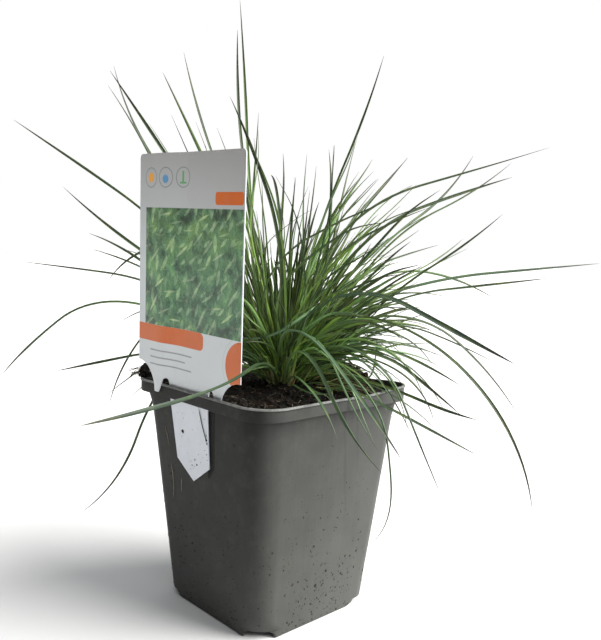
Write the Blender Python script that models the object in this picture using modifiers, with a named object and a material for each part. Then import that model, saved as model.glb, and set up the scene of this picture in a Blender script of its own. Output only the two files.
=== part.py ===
"""Potted blue fescue clump: a square nursery pot of potting soil, one grass clump and a plant label.

Units are metres, +Z is up.  The origin is the centre of the pot's foot, on the surface it stands on.
The pot's sides are square to X and Y; the label stands on the -X side.
"""
import math

import bmesh
import bpy
from mathutils import Matrix, Vector

MM = 0.001

# ---------------------------------------------------------------- driving dimensions (millimetres)
POT_HEIGHT = 103.5
RIM_HALF = 45.0          # half the outer width across the rim band
RIM_RADIUS = 8.0
BAND_HEIGHT = 6.5
BAND_WALL = 0.7
WALL_TOP_HALF = 42.8     # half the outer width of the wall, under the band
WALL_TOP_RADIUS = 9.0
BASE_HALF = 34.0
BASE_RADIUS = 9.0
WALL = 0.9
LEDGE = 0.9
FLOOR_UNDER = 3.0        # the floor is raised on the foot skirt
FLOOR_TOP = 4.2
FOOT_BOSS_RADIUS = 9.0   # round boss under the middle of the floor, down to the surface
CORNER_STEPS = 6
NOTCH_REACH = 40.6       # diagonal distance at which each corner's foot is cut away
NOTCH_HEIGHT = 2.7
NOTCH_SLOPE = 0.4        # the foot's ends slope outward
DRAIN_RADIUS = 3.0
DRAIN_OFFSET = 19.0
SLOT_LENGTH = 44.0

GAP = 0.3                # clearance between neighbouring pieces

SOIL_TOP_HALF = 43.9     # over the ledge the soil reaches the rim band
SOIL_LABEL_SIDE = -42.0  # where it stops in front of the label
SOIL_LEVEL = POT_HEIGHT - 3.0
MOUND_RISE = 12.0
MOUND_AT = (37.0, -4.0)
MOUND_SPREAD = (16.0, 21.0)
CORNER_DIP = 6.0
CORNER_DIP_AT = (42.0, -42.0)
CORNER_DIP_SPREAD = 13.0

CROWN_AT = (4.0, -4.0)
CROWN_RADIUS = 13.4
CROWN_RISE = 12.0
CROWN_CENTRE_Z = POT_HEIGHT - 4.0
CROWN_DEPTH = 8.0

LABEL_HALF = 35.2
LABEL_TOP = 106.4        # above the line where the card bends into its tongue
LABEL_THICK = 0.4
LABEL_AT = (-43.35, 6.0, 98.5)
LABEL_TURN = 1.0         # degrees about the upright, far side outward
LABEL_LEAN = -1.0        # degrees, top away from the plant
LABEL_ROLL = 1.1         # degrees, near side low
TONGUE_LEAN = -5.0       # the tongue hangs along the pot's sloping wall
TONGUE_ROLL = -0.7
TONGUE_NECK = 14.4       # half width where it leaves the card
TONGUE_SIDES = (-11.2, 12.8)
TONGUE_SHOULDER = -28.0
TONGUE_TIP = (0.5, -36.3)
NOTCH_TOP = 7.5          # height of the notches between tongue and prongs
PRONG_OUT = 2.6          # how far the far prong is sprung outside the rim band

SHOOT_STATIONS = 11
SPIRAL_STEP = 1.7        # the shoots stand in the crown in a spiral, like seeds in a head
SPIRAL_TURN = 137.508

# One row a shoot, in spiral order from the middle of the crown:
# length, rise at the foot, at a third, at two thirds and at the tip (degrees above level),
# bearing at the foot, half way and at the tip (degrees from +X), widest width (mm)
SHOOTS = (
    (172, 89, 71, 63, 72, -1, -3, -6, 1.3),
    (136, 84, 60, 4, -55, 121, 122, 122, 1.3),
    (194, 89, 56, 18, 18, 17, -21, -62, 1.3),
    (150, 78, 58, 34, 25, 19, 17, 17, 1.3),
    (143, 89, 88, 66, 60, 84, 101, 111, 1.5),
    (169, 81, 58, 21, 17, -21, -22, -22, 1.3),
    (134, 79, 21, -48, -75, 122, 120, 117, 1.3),
    (176, 89, 6, -41, -81, -98, -80, -50, 1.3),
    (158, 78, 60, 35, 36, 8, 8, 8, 1.3),
    (172, 84, 76, 74, 86, 117, 93, 60, 1.3),
    (144, 82, 17, -39, -56, -40, -39, -38, 1.3),
    (172, 74, 69, 64, 74, 107, 107, 107, 1.3),
    (141, 88, 37, -24, -25, -108, -74, -60, 1.8),
    (159, 81, 34, -6, -26, -7, -10, -15, 1.3),
    (166, 81, -44, -70, -38, 121, 114, 120, 1.3),
    (89, 89, 4, -29, -76, -48, -51, -51, 1.3),
    (99, 76, 75, 65, 47, 29, 27, 26, 1.3),
    (155, 77, 74, 63, 62, 128, 127, 127, 1.6),
    (181, 83, 19, 6, 6, -28, -29, -30, 1.7),
    (183, 71, 56, 47, 73, 112, 113, 113, 1.3),
    (120, 82, 4, -62, -61, -81, -79, -79, 1.3),
    (185, 69, 42, 26, 50, -2, 0, 0, 1.3),
    (183, 73, 47, 32, 31, 125, 126, 127, 1.3),
    (95, 88, 4, -36, -40, -44, -45, -44, 1.6),
    (166, 74, 58, 34, 7, 51, 53, 55, 1.3),
    (134, 89, 13, -31, -45, -131, -108, -86, 1.8),
    (124, 78, 14, -19, -26, -19, -22, -27, 1.3),
    (162, 64, 25, 4, 3, 118, 117, 116, 1.3),
    (123, 89, -30, -74, -21, -93, -75, -178, 1.3),
    (183, 63, 41, 38, 46, 24, 38, 53, 1.3),
    (137, 67, 41, 33, 40, 128, 129, 129, 1.3),
    (94, 84, 6, -22, -32, -23, -30, -33, 1.3),
    (192, 70, 76, 83, 79, 86, 82, 81, 1.3),
    (126, 66, 10, -35, -19, -123, -116, -103, 1.3),
    (153, 64, 28, 16, 28, 0, 1, 3, 1.3),
    (163, 66, 58, 62, 52, 123, 122, 121, 1.3),
    (131, 79, 34, 8, 9, -54, -48, -45, 1.3),
    (102, 80, 88, 86, 67, 46, 40, 36, 1.3),
    (163, 74, 66, 56, 53, 131, 131, 131, 1.4),
    (88, 77, 32, -18, -58, -21, -23, -23, 1.3),
    (154, 59, 24, 15, 7, 99, 98, 97, 1.3),
    (64, 65, -1, -21, -51, -122, -112, -102, 1.3),
    (183, 65, 27, 9, 7, 14, 13, 13, 1.3),
    (107, 57, 1, -14, -14, 130, 130, 130, 1.3),
    (82, 50, -10, -19, -12, -61, -58, -53, 1.3),
    (184, 52, 41, 52, 86, 73, 54, 38, 1.3),
    (138, 61, -10, -2, 1, -137, -162, -167, 1.8),
    (185, 74, 48, 22, 34, -10, -9, -8, 1.3),
    (132, 51, 39, 28, 11, 116, 109, 103, 1.3),
    (88, 41, -16, -21, -22, -77, -70, -65, 1.3),
    (160, 54, 52, 62, 49, 22, 26, 28, 1.4),
    (182, 55, 18, -34, -34, 138, 117, 91, 1.3),
    (125, 64, 46, 33, 42, -36, -34, -33, 1.3),
)


# ---------------------------------------------------------------- helpers
def clear_scene():
    for ob in list(bpy.data.objects):
        bpy.data.objects.remove(ob, do_unlink=True)


def collection(name):
    col = bpy.data.collections.get(name) or bpy.data.collections.new(name)
    if col.name not in bpy.context.scene.collection.children:
        bpy.context.scene.collection.children.link(col)
    return col


def material(name, colour, roughness, metallic=0.0):
    mat = bpy.data.materials.new(name)
    mat.use_nodes = True
    bsdf = mat.node_tree.nodes["Principled BSDF"]
    bsdf.inputs["Base Color"].default_value = (*colour, 1.0)
    bsdf.inputs["Roughness"].default_value = roughness
    bsdf.inputs["Metallic"].default_value = metallic
    mat.diffuse_color = (*colour, 1.0)
    return mat


def mesh_object(name, bm, col, mat=None):
    me = bpy.data.meshes.new(name)
    bm.to_mesh(me)
    bm.free()
    ob = bpy.data.objects.new(name, me)
    col.objects.link(ob)
    if mat:
        me.materials.append(mat)
    return ob


def rounded_square(half, radius, z, steps=CORNER_STEPS):
    """One ring of points round a square with rounded corners."""
    ring = []
    for sx, sy, start in ((1, 1, 0), (-1, 1, 90), (-1, -1, 180), (1, -1, 270)):
        for k in range(steps):
            a = math.radians(start + 90 * k / (steps - 1))
            ring.append((sx * (half - radius) + radius * math.cos(a),
                         sy * (half - radius) + radius * math.sin(a), z))
    return ring


def loft(bm, sections):
    """Skin a closed body through rings of rounded squares, capped at both ends."""
    rings = []
    for half, radius, z in sections:
        rings.append([bm.verts.new((x * MM, y * MM, zz * MM)) for x, y, zz in rounded_square(half, radius, z)])
    n = len(rings[0])
    for a, b in zip(rings, rings[1:]):
        for i in range(n):
            j = (i + 1) % n
            bm.faces.new((a[i], a[j], b[j], b[i]))
    bm.faces.new(list(reversed(rings[0])))
    bm.faces.new(rings[-1])
    bmesh.ops.recalc_face_normals(bm, faces=bm.faces)


def box_cutter(name, low, high, col, turn=0.0, slope=0.0):
    """A box between two corners, sheared along X with height, then turned about Z through the origin."""
    bm = bmesh.new()
    bmesh.ops.create_cube(bm, size=1.0)
    size = Vector([(h - l) * MM for l, h in zip(low, high)])
    mid = Vector([(h + l) * 0.5 * MM for l, h in zip(low, high)])
    bmesh.ops.transform(bm, matrix=Matrix.Translation(mid) @ Matrix.Diagonal((*size, 1.0)), verts=bm.verts)
    for v in bm.verts:
        v.co.x += slope * v.co.z
    bmesh.ops.transform(bm, matrix=Matrix.Rotation(math.radians(turn), 4, "Z"), verts=bm.verts)
    return as_cutter(mesh_object(name, bm, col))


def round_cutter(name, x, y, low, high, radius, col, sides=14):
    bm = bmesh.new()
    bmesh.ops.create_cone(bm, cap_ends=True, segments=sides, radius1=radius * MM, radius2=radius * MM,
                          depth=(high - low) * MM)
    bmesh.ops.translate(bm, vec=(x * MM, y * MM, (high + low) * 0.5 * MM), verts=bm.verts)
    return as_cutter(mesh_object(name, bm, col))


def as_cutter(ob):
    ob.hide_render = True
    ob.display_type = "WIRE"
    return ob


def boolean(ob, other, operation):
    mod = ob.modifiers.new(f"{operation.lower()}_{other.name}", "BOOLEAN")
    mod.operation = operation
    mod.solver = "EXACT"
    mod.object = other
    return mod


def shade(ob, angle=30.0):
    if ob.type == "MESH":
        ob.data.shade_smooth()
        ob.data.set_sharp_from_angle(angle=math.radians(angle))


# ---------------------------------------------------------------- pot
def make_pot(parts, cutters):
    height, band_in = POT_HEIGHT, RIM_HALF - BAND_WALL
    ledge_top = height - BAND_HEIGHT + LEDGE
    slope = (WALL_TOP_HALF - BASE_HALF) / (height - BAND_HEIGHT)
    inner_top = WALL_TOP_HALF + slope * LEDGE - WALL
    inner_floor = BASE_HALF + slope * FLOOR_TOP - WALL
    skirt_top = BASE_HALF + slope * FLOOR_UNDER - WALL
    bm = bmesh.new()
    loft(bm, [
        (skirt_top, BASE_RADIUS - WALL, FLOOR_UNDER),
        (BASE_HALF - WALL, BASE_RADIUS - WALL, 0.0),
        (BASE_HALF, BASE_RADIUS, 0.0),
        (WALL_TOP_HALF, WALL_TOP_RADIUS, height - BAND_HEIGHT),
        (RIM_HALF - 0.3, RIM_RADIUS - 0.3, height - BAND_HEIGHT),
        (RIM_HALF, RIM_RADIUS, height - BAND_HEIGHT + 0.4),
        (RIM_HALF, RIM_RADIUS, height - 0.3),
        (RIM_HALF - 0.2, RIM_RADIUS - 0.2, height),
        (band_in + 0.15, RIM_RADIUS - BAND_WALL + 0.15, height),
        (band_in, RIM_RADIUS - BAND_WALL, height - 0.3),
        (band_in, RIM_RADIUS - BAND_WALL, ledge_top),
        (inner_top, WALL_TOP_RADIUS - WALL, ledge_top),
        (inner_floor, BASE_RADIUS - WALL, FLOOR_TOP),
    ])
    pot = mesh_object("pot", bm, parts, material("pot_plastic", (0.135, 0.14, 0.13), 0.5))
    # boss under the middle of the floor, so the pot also rests on its centre
    boss = round_cutter("foot_boss", 0, 0, 0.0, FLOOR_UNDER + 0.6, FOOT_BOSS_RADIUS, cutters, 24)
    boolean(pot, boss, "UNION")
    # each corner's foot is cut away for air and drainage
    for k, turn in enumerate((45, 135, 225, 315)):
        cut = box_cutter(f"foot_cut_{k + 1}", (NOTCH_REACH, -20, -2), (60, 20, NOTCH_HEIGHT), cutters, turn,
                         NOTCH_SLOPE)
        boolean(pot, cut, "DIFFERENCE")
    for k, (sx, sy) in enumerate(((1, 1), (-1, 1), (-1, -1), (1, -1))):
        hole = round_cutter(f"drain_{k + 1}", sx * DRAIN_OFFSET, sy * DRAIN_OFFSET, 1.0, FLOOR_TOP + 1.0,
                            DRAIN_RADIUS, cutters)
        boolean(pot, hole, "DIFFERENCE")
    # label slot through the ledge, between the wall and the band, on the -X side
    slot = box_cutter("label_slot", (-band_in, -SLOT_LENGTH / 2, height - BAND_HEIGHT - 1.5),
                      (-WALL_TOP_HALF, SLOT_LENGTH / 2, ledge_top + 0.6), cutters)
    boolean(pot, slot, "DIFFERENCE")
    return pot


# ---------------------------------------------------------------- soil
def soil_height(x, y):
    """The soil's top: level in front, heaped at the back right, sunk in the right corner."""
    z = SOIL_LEVEL
    z += MOUND_RISE * math.exp(-(((x - MOUND_AT[0]) / MOUND_SPREAD[0]) ** 2
                                 + ((y - MOUND_AT[1]) / MOUND_SPREAD[1]) ** 2))
    dx, dy = x - CORNER_DIP_AT[0], y - CORNER_DIP_AT[1]
    z -= CORNER_DIP * math.exp(-(dx * dx + dy * dy) / CORNER_DIP_SPREAD ** 2)
    z += 0.35 * math.sin(x * 0.31 + 1.0) * math.cos(y * 0.27)
    # the heap's outer face is steep and ends at the rim
    edge = SOIL_TOP_HALF - max(abs(x), abs(y))
    return min(z, POT_HEIGHT - 0.4 + 2.0 * max(edge, 0.0))


def make_soil(parts, cutters):
    slope = (WALL_TOP_HALF - BASE_HALF) / (POT_HEIGHT - BAND_HEIGHT)
    ledge_top = POT_HEIGHT - BAND_HEIGHT + LEDGE
    low = FLOOR_TOP + GAP
    inset = WALL + GAP + 0.05
    bm = bmesh.new()
    loft(bm, [
        (BASE_HALF + slope * low - inset, BASE_RADIUS - WALL - GAP, low),
        (WALL_TOP_HALF + slope * LEDGE - inset, WALL_TOP_RADIUS - WALL - GAP, ledge_top + GAP),
        (SOIL_TOP_HALF, RIM_RADIUS - BAND_WALL - GAP, ledge_top + GAP),
        (SOIL_TOP_HALF, RIM_RADIUS - BAND_WALL - GAP, POT_HEIGHT + 30.0),
    ])
    soil = mesh_object("potting_soil", bm, parts, material("potting_soil", (0.045, 0.033, 0.025), 0.95))
    # the label's prongs stand between the soil and the rim band
    side = box_cutter("label_side", (-60, -60, ledge_top - 0.37), (SOIL_LABEL_SIDE, 60, POT_HEIGHT + 50.0), cutters)
    boolean(soil, side, "DIFFERENCE")
    # everything above the heaped surface is taken off
    bm = bmesh.new()
    bmesh.ops.create_grid(bm, x_segments=21, y_segments=21, size=46.7 * MM)
    for v in bm.verts:
        v.co.z = soil_height(v.co.x / MM, v.co.y / MM) * MM
    top = bmesh.ops.extrude_face_region(bm, geom=list(bm.faces))
    for v in top["geom"]:
        if isinstance(v, bmesh.types.BMVert):
            v.co.z = (POT_HEIGHT + 40.0) * MM
    bmesh.ops.recalc_face_normals(bm, faces=bm.faces)
    boolean(soil, as_cutter(mesh_object("soil_surface", bm, cutters)), "DIFFERENCE")
    # the socket that the crown's base is rooted in
    boolean(soil, turned("crown_socket", crown_profile(GAP), cutters, 24, cutter=True), "DIFFERENCE")
    return soil


# ---------------------------------------------------------------- crown
def crown_profile(grow=0.0):
    """Outer side from top to bottom: a dome of packed sheaths on a short rooted base."""
    pts = []
    for k in range(7):
        a = math.radians(90 - 90 * k / 6)
        r = (CROWN_RADIUS + grow) * math.cos(a)
        pts.append((0.0 if k == 0 else r, CROWN_CENTRE_Z + (CROWN_RISE + grow) * math.sin(a)))
    pts.append((CROWN_RADIUS * 0.8 + grow, CROWN_CENTRE_Z - CROWN_DEPTH * 0.6))
    pts.append((CROWN_RADIUS * 0.45 + grow, CROWN_CENTRE_Z - CROWN_DEPTH - grow))
    pts.append((0.0, CROWN_CENTRE_Z - CROWN_DEPTH - grow))
    return pts


def turned(name, profile, col, steps, mat=None, cutter=False):
    bm = bmesh.new()
    verts = [bm.verts.new((r * MM, 0.0, z * MM)) for r, z in profile]
    for a, b in zip(verts, verts[1:]):
        bm.edges.new((a, b))
    ob = mesh_object(name, bm, col, mat)
    ob.location = (CROWN_AT[0] * MM, CROWN_AT[1] * MM, 0.0)
    mod = ob.modifiers.new("turn", "SCREW")
    mod.axis = "Z"
    mod.steps = steps
    mod.render_steps = steps
    mod.use_merge_vertices = True
    mod.merge_threshold = 0.00001
    mod.use_smooth_shade = True
    return as_cutter(ob) if cutter else ob


def make_crown(parts):
    return turned("crown", crown_profile(), parts, 20, material("crown_sheaths", (0.16, 0.2, 0.07), 0.7))


# ---------------------------------------------------------------- shoots
def shoot_line(row, index, count=49):
    """The centreline of a shoot: even steps that turn through its rises and bearings."""
    length, e0, e1, e2, e3, b0, b1, b2 = row[:8]
    radius = SPIRAL_STEP * math.sqrt(index + 0.5)
    angle = math.radians(SPIRAL_TURN * index)
    p = Vector((CROWN_AT[0] + radius * math.cos(angle), CROWN_AT[1] + radius * math.sin(angle), CROWN_CENTRE_Z))
    pts = [p.copy()]
    n = count - 1
    for i in range(n):
        s = (i + 0.5) / n
        t = s * 3.0
        k = min(int(t), 2)
        rises = (e0, e1, e2, e3)
        rise = math.radians(rises[k] + (rises[k + 1] - rises[k]) * (t - k))
        if s < 0.5:
            bearing = b0 + (b1 - b0) * s * 2.0
        else:
            bearing = b1 + (b2 - b1) * (s - 0.5) * 2.0
        bearing = math.radians(bearing)
        step = length / n
        p = p + Vector((math.cos(rise) * math.cos(bearing), math.cos(rise) * math.sin(bearing),
                        math.sin(rise))) * step
        pts.append(p.copy())
    return pts


def clear_of_crown(p):
    """How far outside the crown's dome a point is, roughly, in millimetres."""
    flat = math.hypot(p.x - CROWN_AT[0], p.y - CROWN_AT[1]) / CROWN_RADIUS
    return (math.hypot(flat, (p.z - CROWN_CENTRE_Z) / CROWN_RISE) - 1.0) * CROWN_RISE


def make_shoot(index, row, parts, mat):
    line = shoot_line(row, index)
    half = row[8] / 2.0
    first = next(i for i, p in enumerate(line) if clear_of_crown(p) > 0.45 + half)
    last = len(line) - 1
    curve = bpy.data.curves.new(f"shoot_{index + 1:02d}", "CURVE")
    curve.dimensions = "3D"
    curve.bevel_depth = half * MM
    curve.bevel_resolution = 1
    curve.use_fill_caps = True
    spline = curve.splines.new("POLY")
    spline.points.add(SHOOT_STATIONS - 1)
    for k in range(SHOOT_STATIONS):
        f = first + (last - first) * k / (SHOOT_STATIONS - 1)
        i = min(int(f), last - 1)
        p = line[i].lerp(line[i + 1], f - i)
        s = f / last
        spline.points[k].co = (p.x * MM, p.y * MM, p.z * MM, 1.0)
        # the sheath is a little slimmer than the blade, and the blade tapers to a point
        spline.points[k].radius = min(0.78 + 0.7 * s, 1.0) * max(1.0 - max(s - 0.35, 0.0) / 0.65, 0.0) ** 0.7 + 0.12
    curve.materials.append(mat)
    ob = bpy.data.objects.new(curve.name, curve)
    parts.objects.link(ob)
    return ob


# ---------------------------------------------------------------- label
def label_side(tongue_side):
    """One side's outline of the card from the tongue's shoulder up to the top corner, in mm."""
    notch, centre = 1.55, 16.1
    pts = [(tongue_side, TONGUE_SHOULDER), (TONGUE_NECK, 4.0)]
    for k in range(6):
        a = math.radians(180 - 180 * k / 5)
        pts.append((centre + notch * math.cos(a), NOTCH_TOP - notch + notch * math.sin(a)))
    pts += [(19.1, 1.1), (19.6, 0.7), (21.9, 0.7)]
    for k in range(8):
        a = math.radians(90 * k / 7)
        pts.append((LABEL_HALF - 13.0 * math.cos(a), 0.9 + 12.8 * math.sin(a)))
    corner = 1.8
    for k in range(4):
        a = math.radians(90 * k / 3)
        pts.append((LABEL_HALF - corner + corner * math.cos(a), LABEL_TOP - corner + corner * math.sin(a)))
    return pts


def card_axes(turn, lean, roll):
    """Directions across, up and out of a card that stands on the -X side."""
    turn, lean, roll = math.radians(turn), math.radians(lean), math.radians(roll)
    across = Vector((math.sin(turn), -math.cos(turn), 0.0))
    outward = Vector((-math.cos(turn), -math.sin(turn), 0.0))
    up = Vector((0.0, 0.0, math.cos(lean))) - outward * math.sin(lean)
    u_axis = across * math.cos(roll) - up * math.sin(roll)
    v_axis = up * math.cos(roll) + across * math.sin(roll)
    return u_axis, v_axis, u_axis.cross(v_axis)


def make_label(parts):
    far_side, near_side = TONGUE_SIDES
    outline = [TONGUE_TIP] + label_side(near_side) + [(-u, v) for u, v in reversed(label_side(-far_side))]
    curve = bpy.data.curves.new("label_outline", "CURVE")
    curve.dimensions = "2D"
    curve.fill_mode = "BOTH"
    curve.extrude = LABEL_THICK / 2 * MM
    spline = curve.splines.new("POLY")
    spline.points.add(len(outline) - 1)
    for pt, (u, v) in zip(spline.points, outline):
        pt.co = (u * MM, v * MM, 0.0, 1.0)
    spline.use_cyclic_u = True
    guide = bpy.data.objects.new("label_outline", curve)
    parts.objects.link(guide)
    bpy.context.view_layer.update()
    evaluated = guide.evaluated_get(bpy.context.evaluated_depsgraph_get())
    me = bpy.data.meshes.new_from_object(evaluated)
    bpy.data.objects.remove(guide, do_unlink=True)
    bm = bmesh.new()
    bm.from_mesh(me)
    bmesh.ops.remove_doubles(bm, verts=bm.verts, dist=0.00001)
    bmesh.ops.recalc_face_normals(bm, faces=bm.faces)
    # crease lines where the card bends into its tongue and where the far wing springs outward
    creases = [((u, 0.0), (1, 0, 0)) for u in (-20.0, -17.2, -14.9, -9.5, -3.0)]
    creases += [((0.0, v), (0, 1, 0)) for v in (0.0, NOTCH_TOP, 31.0)]
    for (u, v), across in creases:
        bmesh.ops.bisect_plane(bm, geom=list(bm.verts) + list(bm.edges) + list(bm.faces),
                               plane_co=(u * MM, v * MM, 0), plane_no=across, dist=0.000001)
    card = card_axes(LABEL_TURN, LABEL_LEAN, LABEL_ROLL)
    tongue = card_axes(0.0, TONGUE_LEAN, TONGUE_ROLL)
    origin = Vector(LABEL_AT)
    for vert in bm.verts:
        u, v, d = vert.co.x / MM, vert.co.y / MM, vert.co.z / MM
        # the neck keeps the tongue's direction at its foot and takes the card's at its top
        own = 1.0 if abs(u) > 16.0 else min(max(v / NOTCH_TOP, 0.0), 1.0)
        start = -14.0 + 12.0 * min(max((v - NOTCH_TOP) / 25.0, 0.0), 1.0)
        t = min(max((start - u) / (start + 20.0), 0.0), 1.0)
        out = PRONG_OUT * t * t * (3.0 - 2.0 * t) * own
        along = (card if v >= 0.0 else tongue)[1]
        normal = tongue[2].lerp(card[2], 1.0 if v > 0.01 else 0.5 if v > -0.01 else 0.0)
        p = origin + tongue[0].lerp(card[0], own) * u + along * v + normal * d - Vector((out, 0.0, 0.0))
        vert.co = p * MM
    bmesh.ops.recalc_face_normals(bm, faces=bm.faces)
    return mesh_object("plant_label", bm, parts, material("label_card", (0.62, 0.63, 0.64), 0.35))


# ---------------------------------------------------------------- assembly
def main():
    clear_scene()
    parts = collection("potted_blue_fescue")
    cutters = collection("cutters")
    pot = make_pot(parts, cutters)
    soil = make_soil(parts, cutters)
    make_crown(parts)
    leaf = material("fescue_blade", (0.12, 0.2, 0.09), 0.5)
    for index, row in enumerate(SHOOTS):
        make_shoot(index, row, parts, leaf)
    label = make_label(parts)
    shade(pot)
    shade(soil, 60.0)
    shade(label)


main()
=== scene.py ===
"""Looks of the potted blue fescue clump: fine leaves, loose soil, the finish of the pot and the printed label.

Lengths in the tables are millimetres and angles degrees; everything is turned into metres when a mesh is made.
"""

import math

import bmesh
import bpy
import numpy as np
from mathutils import Matrix, Vector, noise


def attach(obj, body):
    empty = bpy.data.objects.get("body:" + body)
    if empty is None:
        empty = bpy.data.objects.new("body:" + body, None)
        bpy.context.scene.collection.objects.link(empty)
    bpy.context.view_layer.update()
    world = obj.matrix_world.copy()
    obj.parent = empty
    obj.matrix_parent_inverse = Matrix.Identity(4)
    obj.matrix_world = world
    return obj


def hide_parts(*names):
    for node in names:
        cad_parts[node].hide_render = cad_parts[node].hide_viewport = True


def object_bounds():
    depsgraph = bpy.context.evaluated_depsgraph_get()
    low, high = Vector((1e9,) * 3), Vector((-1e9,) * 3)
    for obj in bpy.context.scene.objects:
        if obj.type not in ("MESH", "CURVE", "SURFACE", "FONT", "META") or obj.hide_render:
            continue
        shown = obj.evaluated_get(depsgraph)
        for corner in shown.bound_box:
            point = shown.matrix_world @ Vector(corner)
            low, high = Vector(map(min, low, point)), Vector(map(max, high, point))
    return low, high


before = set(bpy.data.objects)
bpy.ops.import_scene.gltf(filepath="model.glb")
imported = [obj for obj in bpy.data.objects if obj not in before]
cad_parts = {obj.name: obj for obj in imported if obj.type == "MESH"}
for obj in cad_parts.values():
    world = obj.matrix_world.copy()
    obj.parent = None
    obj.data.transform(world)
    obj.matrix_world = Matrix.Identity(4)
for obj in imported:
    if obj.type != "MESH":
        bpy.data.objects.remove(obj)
cad_low, cad_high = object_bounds()

MM = 0.001
LOW, HIGH = np.array(cad_low) / MM, np.array(cad_high) / MM

# ---------------------------------------------------------------- the object's own sizes (mm), as in the solids
POT_HEIGHT = 103.5
BAND_HEIGHT = 6.5
RIM_HALF = 45.0
WALL_TOP_HALF, BASE_HALF, BASE_RADIUS = 42.8, 34.0, 9.0
CROWN = np.array((4.0, -4.0))
ROOT_Z = POT_HEIGHT - 4.0
LABEL_AT = np.array((-43.35, 6.0, 98.5))
TURN, LEAN, ROLL = math.radians(1.0), math.radians(-1.0), math.radians(1.1)
ACROSS = np.array((math.sin(TURN), -math.cos(TURN), 0.0))
UPWARD = np.array((0.0, 0.0, math.cos(LEAN))) + np.array((math.cos(TURN), math.sin(TURN), 0.0)) * math.sin(LEAN)
LABEL_U = ACROSS * math.cos(ROLL) - UPWARD * math.sin(ROLL)
LABEL_V = UPWARD * math.cos(ROLL) + ACROSS * math.sin(ROLL)
LABEL_N = np.cross(LABEL_U, LABEL_V)

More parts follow.
